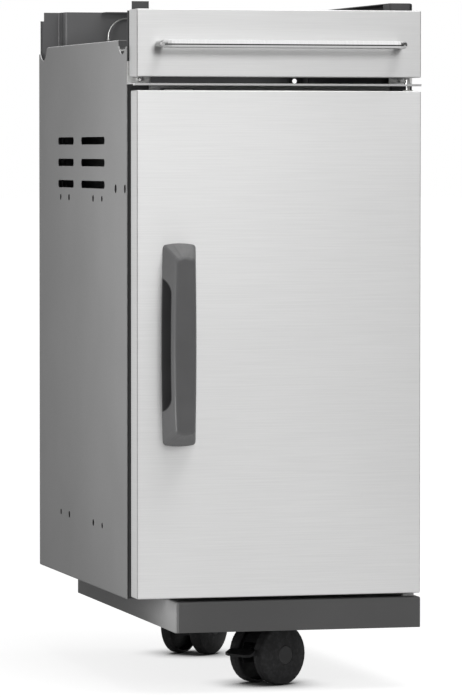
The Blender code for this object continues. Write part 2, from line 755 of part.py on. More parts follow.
def build_floor_panel(cabinet):
    """Cabinet floor, which rests on the bottom flanges of the side panels."""
    inset = PANEL_SHEET + PANEL_BEND + SEAT_GAP
    mesh = bmesh.new()
    block(mesh, (inset, 0.0, FLOOR_BOTTOM),
          (BODY_WIDTH - inset, BODY_DEPTH, FLOOR_BOTTOM + FLOOR_SHEET))
    return make_piece("floor_panel", mesh, DARK_STEEL, cabinet)


def build_base(cabinet):
    """Inverted tray under the cabinet, and the channels that carry the casters inside it."""
    mesh = bmesh.new()
    pan(mesh, (BASE_LEFT_INSET, -BASE_FRONT_OVERHANG, BASE_UNDERSIDE),
        (BODY_WIDTH, BODY_DEPTH, BASE_TOP), 2, -1, BASE_SHEET, BASE_EDGE, BASE_CORNER, BASE_LIP)
    tray = make_piece("base_tray", mesh, BASE_GREY, cabinet)
    drill = bmesh.new()
    prism(drill, circle((HINGE_X, HINGE_Y), HINGE_PIN_RADIUS + HINGE_CLEARANCE, PIN_SIDES), 2,
          BASE_TOP - 0.004, BASE_TOP + 0.002)
    shape_with(tray, drill, "DIFFERENCE")

    low_x = BASE_LEFT_INSET + BASE_SHEET + SEAT_GAP
    high_x = BODY_WIDTH - BASE_SHEET - SEAT_GAP
    for name, middle, centre_x in (("front", CASTER_FRONT_Y, CASTER_X[0]),
                                   ("rear", CASTER_REAR_Y, CASTER_X[1])):
        half_top = CHANNEL_TOP_WIDTH / 2.0
        half_bottom = CHANNEL_BOTTOM_WIDTH / 2.0
        path = [(middle - half_top, CHANNEL_TOP),
                (middle - half_top + CHANNEL_FLANGE, CHANNEL_TOP),
                (middle - half_bottom, CHANNEL_FACE + CHANNEL_SHEET),
                (middle + half_bottom, CHANNEL_FACE + CHANNEL_SHEET),
                (middle + half_top - CHANNEL_FLANGE, CHANNEL_TOP),
                (middle + half_top, CHANNEL_TOP)]
        mesh = bmesh.new()
        prism(mesh, folded_sheet(path[::-1], CHANNEL_SHEET, PANEL_BEND), 0, low_x, high_x)
        channel = make_piece("caster_channel_" + name, mesh, DARK_STEEL, cabinet)
        drill = bmesh.new()
        prism(drill, circle((centre_x, middle), STEM_RADIUS + SEAT_GAP, PIN_SIDES), 2,
              CHANNEL_FACE - 0.002, CHANNEL_FACE + 0.004)
        shape_with(channel, drill, "DIFFERENCE")


def build_divider(cabinet):
    """Divider plate with a hemmed front edge, and the cross rail that carries it."""
    inner = POST_INNER + SEAT_GAP
    outline = [(0.0, -PLATE_OVERHANG), (BODY_WIDTH, -PLATE_OVERHANG), (BODY_WIDTH, -SEAT_GAP),
               (BODY_WIDTH - inner, -SEAT_GAP), (BODY_WIDTH - inner, BACK_Y - SEAT_GAP),
               (inner, BACK_Y - SEAT_GAP), (inner, -SEAT_GAP), (0.0, -SEAT_GAP)]
    mesh = bmesh.new()
    prism(mesh, outline, 2, PLATE_TOP - PLATE_SHEET, PLATE_TOP)
    plate = make_piece("divider_plate", mesh, STAINLESS, cabinet)
    hem = bmesh.new()
    prism(hem, rounded_rectangle((-PLATE_OVERHANG, PLATE_TOP - PLATE_HEM_HEIGHT),
                                 (-PLATE_OVERHANG + PLATE_HEM_DEPTH, PLATE_TOP), 0.0006),
          0, 0.0, BODY_WIDTH)
    shape_with(plate, hem, "UNION")
    flange = bmesh.new()
    block(flange, (inner + 0.004, BACK_Y - SEAT_GAP - PLATE_SHEET, PLATE_TOP - PLATE_REAR_FLANGE),
          (BODY_WIDTH - inner - 0.004, BACK_Y - SEAT_GAP, PLATE_TOP - 0.0003))
    shape_with(plate, flange, "UNION")
    drill = bmesh.new()
    prism(drill, circle((HINGE_X, HINGE_Y), HINGE_PIN_RADIUS + HINGE_CLEARANCE, PIN_SIDES), 2,
          PLATE_TOP - 0.004, PLATE_TOP + 0.002)
    shape_with(plate, drill, "DIFFERENCE")

    top = PLATE_TOP - PLATE_SHEET - SEAT_GAP
    bottom = top - RAIL_HEIGHT
    path = [(RAIL_DEPTH, top), (0.0, top), (0.0, bottom), (RAIL_DEPTH, bottom)]
    mesh = bmesh.new()
    prism(mesh, folded_sheet(path, RAIL_SHEET, POST_BEND), 0, inner, BODY_WIDTH - inner)
    make_piece("front_cross_rail", mesh, DARK_STEEL, cabinet)


def build_hinge_parts(cabinet):
    """Pins and block on the cabinet side of the door hinge."""
    centre = (HINGE_X, HINGE_Y, PLATE_TOP)
    seat = SEAT_GAP
    mesh = bmesh.new()
    turned(mesh, [(0.0, DOOR_TOP - HINGE_PIN_REACH - PLATE_TOP),
                  (HINGE_PIN_RADIUS, DOOR_TOP - HINGE_PIN_REACH - PLATE_TOP),
                  (HINGE_PIN_RADIUS, seat), (HINGE_COLLAR_RADIUS, seat),
                  (HINGE_COLLAR_RADIUS, seat + HINGE_COLLAR),
                  (HINGE_PIN_RADIUS, seat + HINGE_COLLAR),
                  (HINGE_PIN_RADIUS, HINGE_PIN_RISE - 0.0006),
                  (HINGE_PIN_RADIUS - 0.0006, HINGE_PIN_RISE), (0.0, HINGE_PIN_RISE)],
           centre, 2, PIN_SIDES)
    make_piece("hinge_pin_top", mesh, ZINC, cabinet, smooth=35.0)

    under = BASE_TOP - BASE_SHEET - SEAT_GAP
    mesh = bmesh.new()
    turned(mesh, [(0.0, under - HINGE_COLLAR), (HINGE_COLLAR_RADIUS, under - HINGE_COLLAR),
                  (HINGE_COLLAR_RADIUS, under), (HINGE_PIN_RADIUS, under),
                  (HINGE_PIN_RADIUS, DOOR_BOTTOM + HINGE_PIN_REACH),
                  (0.0, DOOR_BOTTOM + HINGE_PIN_REACH)], (HINGE_X, HINGE_Y, 0.0), 2, PIN_SIDES)
    make_piece("hinge_pin_bottom", mesh, ZINC, cabinet, smooth=35.0)

    half = HINGE_BLOCK_SIZE / 2.0
    mesh = bmesh.new()
    prism(mesh, rounded_rectangle((HINGE_X - half, HINGE_Y - half), (HINGE_X + half, HINGE_Y + half),
                                  0.002), 2, HINGE_BLOCK_BOTTOM, HINGE_BLOCK_TOP)
    hinge_block = make_piece("hinge_block", mesh, BLACK_PLASTIC, cabinet)
    drill = bmesh.new()
    prism(drill, circle((HINGE_X, HINGE_Y), HINGE_PIN_RADIUS + HINGE_CLEARANCE, PIN_SIDES), 2,
          HINGE_BLOCK_BOTTOM - 0.002, HINGE_BLOCK_TOP + 0.002)
    shape_with(hinge_block, drill, "DIFFERENCE")


def build_catch(cabinet):
    """Magnetic catch on the face of the cross rail."""
    strike_face = DOOR_REAR_Y + SEAT_GAP + STRIKE_THICKNESS
    top = PLATE_TOP - PLATE_SHEET - SEAT_GAP - CATCH_DROP
    half = CATCH_LENGTH / 2.0
    mesh = bmesh.new()
    prism(mesh, rounded_rectangle((strike_face + SEAT_GAP, top - CATCH_HEIGHT), (-SEAT_GAP, top),
                                  0.0015), 0, CATCH_CENTRE_X - half, CATCH_CENTRE_X + half)
    make_piece("magnetic_catch", mesh, BLACK_PLASTIC, cabinet)


# Door

def build_door(door):
    """Stainless door pan, its dark liner, hinge bushes and the strike of the catch."""
    base = (HINGE_X, HINGE_Y, DOOR_BOTTOM)
    left = FRONT_SIDE_GAP
    right = BODY_WIDTH - FRONT_SIDE_GAP
    skin_rear = DOOR_REAR_Y - LINER_SHEET - SEAT_GAP
    mesh = bmesh.new()
    pan(mesh, (left, FRONT_FACE_Y, DOOR_BOTTOM), (right, skin_rear, DOOR_TOP), 1, 1,
        SKIN_SHEET, SKIN_EDGE, SKIN_CORNER, SKIN_LIP)
    skin = make_piece("door_skin", mesh, STAINLESS, door, base)
    drill = bmesh.new()
    hole = HINGE_PIN_RADIUS + HINGE_CLEARANCE + BUSH_WALL + SEAT_GAP
    for level in (DOOR_BOTTOM, DOOR_TOP):
        prism(drill, circle((HINGE_X, HINGE_Y), hole, PIN_SIDES), 2, level - 0.004, level + 0.004)
    for level in grip_screw_levels():
        prism(drill, circle((GRIP_CENTRE_X, level), GRIP_SCREW_RADIUS + SEAT_GAP, 12), 1,
              FRONT_FACE_Y - 0.002, FRONT_FACE_Y + 0.004)
    shape_with(skin, drill, "DIFFERENCE", base)

    mesh = bmesh.new()
    low = (left + LINER_INSET, DOOR_BOTTOM + LINER_INSET)
    high = (right - LINER_INSET, DOOR_TOP - LINER_INSET)
    prism(mesh, rounded_rectangle(low, high, 0.002), 1, DOOR_REAR_Y - LINER_SHEET, DOOR_REAR_Y)
    make_piece("door_liner", mesh, DARK_STEEL, door, base)

    bore = HINGE_PIN_RADIUS + HINGE_CLEARANCE
    sleeve = bore + BUSH_WALL
    for name, level, way in (("door_bush_bottom", DOOR_BOTTOM, 1.0), ("door_bush_top", DOOR_TOP, -1.0)):
        profile = [(bore, -SEAT_GAP - BUSH_FLANGE), (BUSH_FLANGE_RADIUS, -SEAT_GAP - BUSH_FLANGE),
                   (BUSH_FLANGE_RADIUS, -SEAT_GAP), (sleeve, -SEAT_GAP),
                   (sleeve, HINGE_PIN_REACH - 0.002), (bore, HINGE_PIN_REACH - 0.002)]
        mesh = bmesh.new()
        turned(mesh, [(size, height * way) for size, height in profile],
               (HINGE_X, HINGE_Y, level), 2, PIN_SIDES, True)
        make_piece(name, mesh, NYLON, door, base, 35.0)

    catch_top = PLATE_TOP - PLATE_SHEET - SEAT_GAP - CATCH_DROP
    middle_z = catch_top - CATCH_HEIGHT / 2.0
    half_x = STRIKE_LENGTH / 2.0
    half_z = STRIKE_HEIGHT / 2.0
    mesh = bmesh.new()
    prism(mesh, rounded_rectangle((CATCH_CENTRE_X - half_x, middle_z - half_z),
                                  (CATCH_CENTRE_X + half_x, middle_z + half_z), 0.002), 1,
          DOOR_REAR_Y + SEAT_GAP, DOOR_REAR_Y + SEAT_GAP + STRIKE_THICKNESS)
    make_piece("catch_strike", mesh, ZINC, door, base)


def grip_screw_levels():
    """Heights of the two screws that hold the door handle."""
    half = GRIP_SCREW_SPREAD / 2.0
    return (GRIP_CENTRE_Z - half, GRIP_CENTRE_Z + half)


def grip_ring(level, share, inset):
    """Outline of the door handle at one depth; share runs from 0 at the door to 1 at the front."""
    width = GRIP_BACK_WIDTH + (GRIP_FRONT_WIDTH - GRIP_BACK_WIDTH) * share
    height = GRIP_HEIGHT - 2.0 * GRIP_END_SLOPE * share
    centre_x = GRIP_CENTRE_X + GRIP_FRONT_SHIFT * share
    half_width = width / 2.0 - inset
    half_height = height / 2.0 - inset
    corner = GRIP_CORNER
    reach = half_width - corner
    side_points = 8
    outline = []
    for way, side_bulge in ((1.0, GRIP_RIGHT_BULGE), (-1.0, GRIP_LEFT_BULGE)):
        for index in range(side_points + 1):
            height_share = -1.0 + 2.0 * index / side_points
            bulge = side_bulge * (1.0 - height_share * height_share)
            outline.append((way * (half_width + bulge), way * height_share * (half_height - corner)))
        for index in range(1, 4):
            angle = math.pi / 2.0 * index / 4
            outline.append((way * (reach + corner * math.cos(angle)),
                            way * (half_height - corner + corner * math.sin(angle))))
        for place in (1.0, 0.5, 0.0, -0.5, -1.0):
            bow = GRIP_END_BOW * (1.0 - place * place)
            outline.append((way * place * reach, way * (half_height + bow)))
        for index in range(3, 0, -1):
            angle = math.pi / 2.0 * index / 4
            outline.append((-way * (reach + corner * math.cos(angle)),
                            way * (half_height - corner + corner * math.sin(angle))))
    return [(centre_x + point[0], level, GRIP_CENTRE_Z + point[1]) for point in outline]


def grip_form(mesh, back_y):
    """Outer form of the door handle: it narrows and shortens towards its round-edged front."""
    rings = [grip_ring(back_y, 0.0, 0.0)]
    for index in range(5):
        angle = math.pi / 2.0 * index / 4
        rise = GRIP_FRONT_EDGE * (1.0 - math.sin(angle))
        inset = GRIP_FRONT_EDGE * (1.0 - math.cos(angle))
        rings.append(grip_ring(GRIP_FRONT_Y + rise, 1.0 - rise / GRIP_DEPTH, inset))
    loft(mesh, rings)


def pocket_outline(shrink):
    """D-shaped outline of the finger pocket, in y and z, with arched ends."""
    back_y = FRONT_FACE_Y - SEAT_GAP - POCKET_START_Y - shrink
    front_y = FRONT_FACE_Y - SEAT_GAP - POCKET_DEPTH_Y + shrink
    swing = math.acos(1.0 - (back_y - front_y) / POCKET_ARC_DEPTH)
    start = POCKET_HEIGHT / 2.0 - shrink - POCKET_ARC_HEIGHT * math.sin(swing)
    arc = []
    for index in range(9):
        angle = swing * index / 8
        arc.append((front_y + POCKET_ARC_DEPTH * (1.0 - math.cos(angle)),
                    start + POCKET_ARC_HEIGHT * math.sin(angle)))
    return arc + [(y, -z) for y, z in reversed(arc)]


def pocket_form(mesh, shrink):
    """Finger pocket that opens to the left, with a rounded bottom."""
    mouth = GRIP_CENTRE_X - GRIP_BACK_WIDTH / 2.0 - 0.006
    bottom = GRIP_CENTRE_X - GRIP_BACK_WIDTH / 2.0 + POCKET_REACH_X - shrink
    rings = []
    for x, inset in ((mouth, 0.0), (bottom - 0.006, 0.0), (bottom - 0.0022, 0.002),
                     (bottom, 0.006)):
        rings.append([(x, y, GRIP_CENTRE_Z + z) for y, z in pocket_outline(shrink + inset)])
    loft(mesh, rings)


def build_grip(door):
    """Moulded door handle, the dark liner of its finger pocket and its screws."""
    base = (HINGE_X, HINGE_Y, DOOR_BOTTOM)
    mesh = bmesh.new()
    grip_form(mesh, FRONT_FACE_Y - SEAT_GAP)
    grip = make_piece("door_handle", mesh, GRIP_PLASTIC, door, base, 35.0)
    cut = bmesh.new()
    pocket_form(cut, 0.0)
    shape_with(grip, cut, "DIFFERENCE", base)
    drill = bmesh.new()
    for level in grip_screw_levels():
        prism(drill, circle((GRIP_CENTRE_X, level), GRIP_SCREW_RADIUS + SEAT_GAP, 12), 1,
              FRONT_FACE_Y - GRIP_SCREW_REACH - 0.001, FRONT_FACE_Y + 0.002)
    shape_with(grip, drill, "DIFFERENCE", base)

    mesh = bmesh.new()
    pocket_form(mesh, SEAT_GAP)
    liner = make_piece("handle_pocket", mesh, BLACK_PLASTIC, door, base, 35.0)
    hollow = bmesh.new()
    pocket_form(hollow, SEAT_GAP + POCKET_LINER)
    bmesh.ops.translate(hollow, vec=(-0.004, 0.0, 0.0), verts=[
        vert for vert in hollow.verts if vert.co.x < GRIP_CENTRE_X - GRIP_BACK_WIDTH / 2.0])
    shape_with(liner, hollow, "DIFFERENCE", base)
    outer = bmesh.new()
    grip_form(outer, FRONT_FACE_Y - SEAT_GAP)
    shape_with(liner, outer, "INTERSECT", base)

    inside = FRONT_FACE_Y + SKIN_SHEET + SEAT_GAP
    for name, level in zip(("bottom", "top"), grip_screw_levels()):
        mesh = bmesh.new()
        screw(mesh, (GRIP_CENTRE_X, inside, level), 1, -1.0, GRIP_SCREW_RADIUS,
              GRIP_SCREW_HEAD_RADIUS, GRIP_SCREW_HEAD, GRIP_SCREW_REACH)
        make_piece("door_handle_screw_" + name, mesh, ZINC, door, base, 35.0)


# Drawer

def build_drawer(drawer):
    """Drawer front pan, its liner, the shallow box and the bar handle."""
    base = (BODY_WIDTH / 2.0, DRAWER_REAR_Y, DRAWER_BOTTOM)
    left = FRONT_SIDE_GAP
    right = BODY_WIDTH - FRONT_SIDE_GAP
    skin_rear = DRAWER_REAR_Y - LINER_SHEET - SEAT_GAP
    mesh = bmesh.new()
    pan(mesh, (left, FRONT_FACE_Y, DRAWER_BOTTOM), (right, skin_rear, DRAWER_TOP), 1, 1,
        SKIN_SHEET, SKIN_EDGE, SKIN_CORNER, SKIN_LIP)
    skin = make_piece("drawer_front", mesh, STAINLESS, drawer, base)
    drill = bmesh.new()
    for place in bar_leg_places():
        prism(drill, circle((place, BAR_CENTRE_Z), BAR_SCREW_RADIUS + SEAT_GAP, 12), 1,
              FRONT_FACE_Y - 0.002, FRONT_FACE_Y + 0.004)
    shape_with(skin, drill, "DIFFERENCE", base)

    mesh = bmesh.new()
    low = (left + LINER_INSET, DRAWER_BOTTOM + LINER_INSET)
    high = (right - LINER_INSET, DRAWER_TOP - LINER_INSET)
    prism(mesh, rounded_rectangle(low, high, 0.002), 1, DRAWER_REAR_Y - LINER_SHEET, DRAWER_REAR_Y)
    make_piece("drawer_liner", mesh, DARK_STEEL, drawer, base)

    mesh = bmesh.new()
    pan(mesh, (DRAWER_BOX_X, DRAWER_REAR_Y + SEAT_GAP, DRAWER_BOX_BOTTOM),
        (BODY_WIDTH - DRAWER_BOX_X, DRAWER_BOX_BACK, DRAWER_BOX_TOP), 2, 1,
        DRAWER_BOX_SHEET, DRAWER_BOX_EDGE, DRAWER_BOX_CORNER)
    make_piece("drawer_box", mesh, DARK_STEEL, drawer, base)

    bar_y = FRONT_FACE_Y - BAR_STANDOFF
    ends = bar_leg_places()
    seat = FRONT_FACE_Y - SEAT_GAP
    path = fillet([(ends[0], seat), (ends[0], bar_y), (ends[1], bar_y), (ends[1], seat)],
                  BAR_BEND, False, 6)
    mesh = bmesh.new()
    tube(mesh, [(point.x, point.y, BAR_CENTRE_Z) for point in path], BAR_RADIUS, 20, (0, 0, 1))
    bar = make_piece("drawer_handle", mesh, POLISHED, drawer, base, 40.0)
    drill = bmesh.new()
    for place in ends:
        prism(drill, circle((place, BAR_CENTRE_Z), BAR_SCREW_RADIUS + SEAT_GAP, 12), 1,
              FRONT_FACE_Y - BAR_SCREW_REACH - 0.001, FRONT_FACE_Y + 0.002)
    shape_with(bar, drill, "DIFFERENCE", base)

    inside = FRONT_FACE_Y + SKIN_SHEET + SEAT_GAP
    for name, place in zip(("left", "right"), ends):
        mesh = bmesh.new()
        screw(mesh, (place, inside, BAR_CENTRE_Z), 1, -1.0, BAR_SCREW_RADIUS,
              BAR_SCREW_HEAD_RADIUS, BAR_SCREW_HEAD, BAR_SCREW_REACH)
        make_piece("drawer_handle_screw_" + name, mesh, ZINC, drawer, base, 35.0)

    middle_z = slide_middle()
    half = SLIDE_HEIGHT / 2.0 - SLIDE_LIP - SLIDE_CLEARANCE
    outer_x = SLIDE_X + SLIDE_WIDTH + SLIDE_CLEARANCE + SLIDE_SHEET
    inner_x = outer_x - SLIDE_MEMBER_WIDTH
    path = [(inner_x, middle_z - half), (outer_x, middle_z - half),
            (outer_x, middle_z + half), (inner_x, middle_z + half)]
    for name, right_hand in (("left", False), ("right", True)):
        outline = folded_sheet(path, SLIDE_SHEET, SLIDE_BEND)
        mesh = bmesh.new()
        prism(mesh, mirrored_x(outline) if right_hand else outline, 1, SLIDE_START, DRAWER_BOX_BACK)
        make_piece("slide_inner_" + name, mesh, ZINC, drawer, base)


def bar_leg_places():
    """Middles of the two legs of the drawer handle."""
    inset = BAR_END_INSET + BAR_RADIUS
    return (inset, BODY_WIDTH - inset)


def slide_middle():
    """Height of the middle of both slides."""
    return (DRAWER_BOX_BOTTOM + DRAWER_BOX_TOP) / 2.0


def build_slides(cabinet):
    """Rails between the front and the back that carry the fixed slide members."""
    middle_z = slide_middle()
    half = SLIDE_HEIGHT / 2.0
    far = SLIDE_X + SLIDE_WIDTH
    member = [(far, middle_z + half - SLIDE_LIP), (far, middle_z + half),
              (SLIDE_X, middle_z + half), (SLIDE_X, middle_z - half),
              (far, middle_z - half), (far, middle_z - half + SLIDE_LIP)]
    front = -SEAT_GAP - SLIDE_RAIL_SHEET
    rear = BACK_Y - SEAT_GAP - SLIDE_RAIL_SHEET
    rail = [(SEAT_GAP, front), (SLIDE_RAIL_X, front), (SLIDE_RAIL_X, rear),
            (SLIDE_RAIL_X + SLIDE_RAIL_REAR_TAB, rear)]
    tab_bottom = PLATE_TOP + SEAT_GAP
    for name, right_hand in (("left", False), ("right", True)):
        outline = folded_sheet(member, SLIDE_SHEET, SLIDE_BEND)
        mesh = bmesh.new()
        prism(mesh, mirrored_x(outline) if right_hand else outline, 1, SLIDE_START, SLIDE_END)
        make_piece("slide_outer_" + name, mesh, DARK_STEEL, cabinet)

        outline = folded_sheet(rail, SLIDE_RAIL_SHEET, SLIDE_BEND)
        mesh = bmesh.new()
        prism(mesh, mirrored_x(outline) if right_hand else outline, 2, tab_bottom, SLIDE_RAIL_TOP)
        carrier = make_piece("slide_rail_" + name, mesh, ZINC, cabinet)
        low_x, high_x = POST_INNER - 0.002, SLIDE_RAIL_X + SLIDE_RAIL_REAR_TAB + 0.002
        place = BRACKET_SCREW_INSET
        if right_hand:
            low_x, high_x = BODY_WIDTH - high_x, BODY_WIDTH - low_x
            place = BODY_WIDTH - place
        cut = bmesh.new()
        block(cut, (low_x, SEAT_GAP, tab_bottom - 0.001), (high_x, BACK_Y, SLIDE_RAIL_BOTTOM))
        shape_with(carrier, cut, "DIFFERENCE")
        drill = bmesh.new()
        prism(drill, circle((place, BRACKET_SCREW_Z), BRACKET_SCREW_RADIUS + SEAT_GAP, 12), 1,
              front - 0.002, front + 0.004)
        shape_with(carrier, drill, "DIFFERENCE")
        mesh = bmesh.new()
        screw(mesh, (place, front - SEAT_GAP, BRACKET_SCREW_Z), 1, 1.0, BRACKET_SCREW_RADIUS,
              BRACKET_SCREW_HEAD_RADIUS, BRACKET_SCREW_HEAD, BRACKET_SCREW_REACH)
        make_piece("slide_bracket_screw_" + name, mesh, ZINC, cabinet, smooth=35.0)


def build_hook(cabinet):
    """Bent wire hook on the back panel, in the space over the drawer."""
    level = HOOK_TOP_Z
    centre_x = HOOK_LEFT_X + HOOK_RADIUS
    front_y = BACK_Y - SEAT_GAP - HOOK_STANDOFF
    path = [(HOOK_LEFT_X, level - HOOK_RADIUS - HOOK_TIP)]
    for index in range(9):
        angle = math.pi - math.pi / 2.0 * index / 8
        path.append((centre_x + HOOK_RADIUS * math.cos(angle),
                     level - HOOK_RADIUS + HOOK_RADIUS * math.sin(angle)))
    path.append((centre_x + HOOK_RADIUS, level))
    mesh = bmesh.new()
    tube(mesh, [(x, front_y, z) for x, z in path], HOOK_WIRE_RADIUS, 8, (0, 1, 0))
    hook = make_piece("wire_hook", mesh, ZINC, cabinet, smooth=40.0)
    foot = bmesh.new()
    prism(foot, circle((centre_x + HOOK_RADIUS - HOOK_WIRE_RADIUS, level), HOOK_FOOT_RADIUS, 12),
          1, front_y - HOOK_FOOT_RADIUS / 2.0, BACK_Y - SEAT_GAP)
    shape_with(hook, foot, "UNION")
    bead = bmesh.new()
    size = HOOK_BEAD_RADIUS
    profile = [(size * math.sin(math.pi * step / 6), -size * math.cos(math.pi * step / 6))
               for step in range(1, 6)]
    turned(bead, [(0.0, -size)] + profile + [(0.0, size)], (HOOK_LEFT_X, front_y, path[0][1]), 2, 10)
    shape_with(hook, bead, "UNION")


# Casters

def build_stem(cabinet, name, centre_x, middle_y):
    """Threaded stem on which the caster swivels, and the nut that holds it in the channel."""
    bottom = STEM_FLANGE_BOTTOM - STEM_LENGTH
    top = STEM_SHOULDER + STEM_THREAD
    mesh = bmesh.new()
    turned(mesh, [(0.0, bottom), (STEM_RADIUS - 0.001, bottom), (STEM_RADIUS, bottom + 0.001),
                  (STEM_RADIUS, STEM_FLANGE_BOTTOM), (STEM_FLANGE_RADIUS, STEM_FLANGE_BOTTOM),
                  (STEM_FLANGE_RADIUS, STEM_SHOULDER), (STEM_RADIUS, STEM_SHOULDER),
                  (STEM_RADIUS, top - 0.001), (STEM_RADIUS - 0.001, top), (0.0, top)],
           (centre_x, middle_y, 0.0), 2, PIN_SIDES)
    make_piece("caster_stem_" + name, mesh, ZINC, cabinet, smooth=35.0)

    seat = CHANNEL_FACE + CHANNEL_SHEET + SEAT_GAP
    mesh = bmesh.new()
    corner = STEM_NUT_ACROSS / 2.0 / math.cos(math.pi / 6.0)
    prism(mesh, circle((centre_x, middle_y), corner, 6), 2, seat, seat + STEM_NUT_HEIGHT)
    nut = make_piece("caster_nut_" + name, mesh, ZINC, cabinet)
    bore = bmesh.new()
    prism(bore, circle((centre_x, middle_y), STEM_RADIUS + SEAT_GAP, PIN_SIDES), 2,
          seat - 0.002, seat + STEM_NUT_HEIGHT + 0.002)
    shape_with(nut, bore, "DIFFERENCE")


def build_housing(swivel, name, with_pedal):
    """Moulded caster body between the wheels, with its swivel head and pedal ears."""
    half = WHEEL_TRACK / 2.0 - WHEEL_WIDTH / 2.0 - HOUSING_SIDE_GAP
    steps = 20
    outline = []
    for index in range(steps + 1):
        angle = HOUSING_FLAT + (math.pi - 2.0 * HOUSING_FLAT) * index / steps
        outline.append((-CASTER_TRAIL + HOUSING_RADIUS * math.cos(angle),
                        WHEEL_RADIUS + HOUSING_RADIUS * math.sin(angle)))
    mesh = bmesh.new()
    prism(mesh, outline, 1, -half, half)
    housing = make_piece("caster_housing_" + name, mesh, BLACK_PLASTIC, swivel, smooth=35.0)

    top = STEM_FLANGE_BOTTOM - RUNNING_GAP
    head = top - SWIVEL_HEAD_HEIGHT
    neck = bmesh.new()
    turned(neck, [(0.0, WHEEL_RADIUS), (SWIVEL_NECK_RADIUS, WHEEL_RADIUS),
                  (SWIVEL_NECK_RADIUS, head - 0.004), (SWIVEL_HEAD_RADIUS - 0.002, head),
                  (SWIVEL_HEAD_RADIUS, head + 0.002), (SWIVEL_HEAD_RADIUS, top), (0.0, top)],
           (0.0, 0.0, 0.0), 2, 32)
    shape_with(housing, neck, "UNION")

    cut = bmesh.new()
    prism(cut, circle((0.0, 0.0), STEM_RADIUS + RUNNING_GAP, PIN_SIDES), 2,
          STEM_FLANGE_BOTTOM - STEM_LENGTH - 0.001, top + 0.002)
    shape_with(housing, cut, "DIFFERENCE")
    bore = bmesh.new()
    prism(bore, circle((-CASTER_TRAIL, WHEEL_RADIUS), AXLE_RADIUS + SEAT_GAP, PIN_SIDES), 1,
          -half - 0.002, half + 0.002)
    shape_with(housing, bore, "DIFFERENCE")
    if with_pedal:
        slot = bmesh.new()
        inner = half - PEDAL_EAR
        pivot_x = -CASTER_TRAIL - PEDAL_PIVOT_OUT
        pivot_z = WHEEL_RADIUS + PEDAL_PIVOT_UP
        block(slot, (pivot_x - 0.020, -inner, pivot_z - 0.022), (pivot_x + 0.009, inner, pivot_z + 0.009))
        shape_with(housing, slot, "DIFFERENCE")
        pin_bore = bmesh.new()
        prism(pin_bore, circle((pivot_x, pivot_z), PEDAL_PIN_RADIUS + SEAT_GAP, 12), 1,
              -half - 0.002, half + 0.002)
        shape_with(housing, pin_bore, "DIFFERENCE")
    return housing


def wheel_profile():
    """Half section of a hollow wheel, as radius and distance from its inner edge."""
    rim = WHEEL_RADIUS
    width = WHEEL_WIDTH
    shoulder = WHEEL_SHOULDER
    bore = AXLE_RADIUS + RUNNING_GAP
    recess = width + WHEEL_DOME - HUB_CAP_THICKNESS - SEAT_GAP
    cap_hole = HUB_CAP_RADIUS + SEAT_GAP
    crown = 0.0006
    profile = [(WHEEL_HUB_RADIUS, 0.0), (WHEEL_HUB_RADIUS, width - 0.006),
               (rim - WHEEL_WALL - 0.002, width - 0.006), (rim - WHEEL_WALL, width - 0.008),
               (rim - WHEEL_WALL, 0.0), (rim - crown - 0.001, 0.0), (rim - crown, 0.001),
               (rim, width * 0.35), (rim, width - shoulder - 0.003)]
    for index in range(1, 5):
        angle = math.pi / 2.0 * index / 4
        profile.append((rim - shoulder * (1.0 - math.cos(angle)),
                        width - shoulder - 0.001 + shoulder * math.sin(angle)))
    for share in (0.66, 0.33, 0.0):
        radius = cap_hole + (rim - shoulder - cap_hole) * share
        profile.append((radius, width - 0.001 + (WHEEL_DOME + 0.0006) * (1.0 - share ** 2)))
    profile += [(cap_hole, recess), (bore, recess), (bore, 0.0)]
    return profile


def build_wheels(swivel, name):
    """Two wheels with hub caps, which turn on the caster's axle."""
    half = WHEEL_TRACK / 2.0 - WHEEL_WIDTH / 2.0
    length = 2.0 * (half + WHEEL_WIDTH + WHEEL_DOME - HUB_CAP_THICKNESS - 2.0 * SEAT_GAP)
    mesh = bmesh.new()
    turned(mesh, [(0.0, -length / 2.0), (AXLE_RADIUS, -length / 2.0), (AXLE_RADIUS, length / 2.0),
                  (0.0, length / 2.0)], (-CASTER_TRAIL, 0.0, WHEEL_RADIUS), 1, PIN_SIDES)
    make_piece("axle_" + name, mesh, ZINC, swivel, smooth=35.0)

    cap_level = WHEEL_WIDTH + WHEEL_DOME - HUB_CAP_THICKNESS
    for side_name, turn in (("left", 0.0), ("right", math.pi)):
        spin = make_axis("wheel_axis_" + name + "_" + side_name,
                         (-CASTER_TRAIL, 0.0, WHEEL_RADIUS), swivel, turn)
        mesh = bmesh.new()
        turned(mesh, wheel_profile(), (0.0, half, 0.0), 1, WHEEL_SIDES, True)
        make_piece("wheel_" + name + "_" + side_name, mesh, BLACK_PLASTIC, spin, smooth=30.0)
        mesh = bmesh.new()
        turned(mesh, [(0.0, cap_level), (HUB_CAP_RADIUS, cap_level),
                      (HUB_CAP_RADIUS, cap_level + HUB_CAP_THICKNESS - 0.0006),
                      (HUB_CAP_RADIUS - 0.0008, cap_level + HUB_CAP_THICKNESS),
                      (0.0, cap_level + HUB_CAP_THICKNESS + 0.0003)],
               (0.0, half, 0.0), 1, 24)
        make_piece("hub_cap_" + name + "_" + side_name, mesh, BLACK_PLASTIC, spin, smooth=35.0)


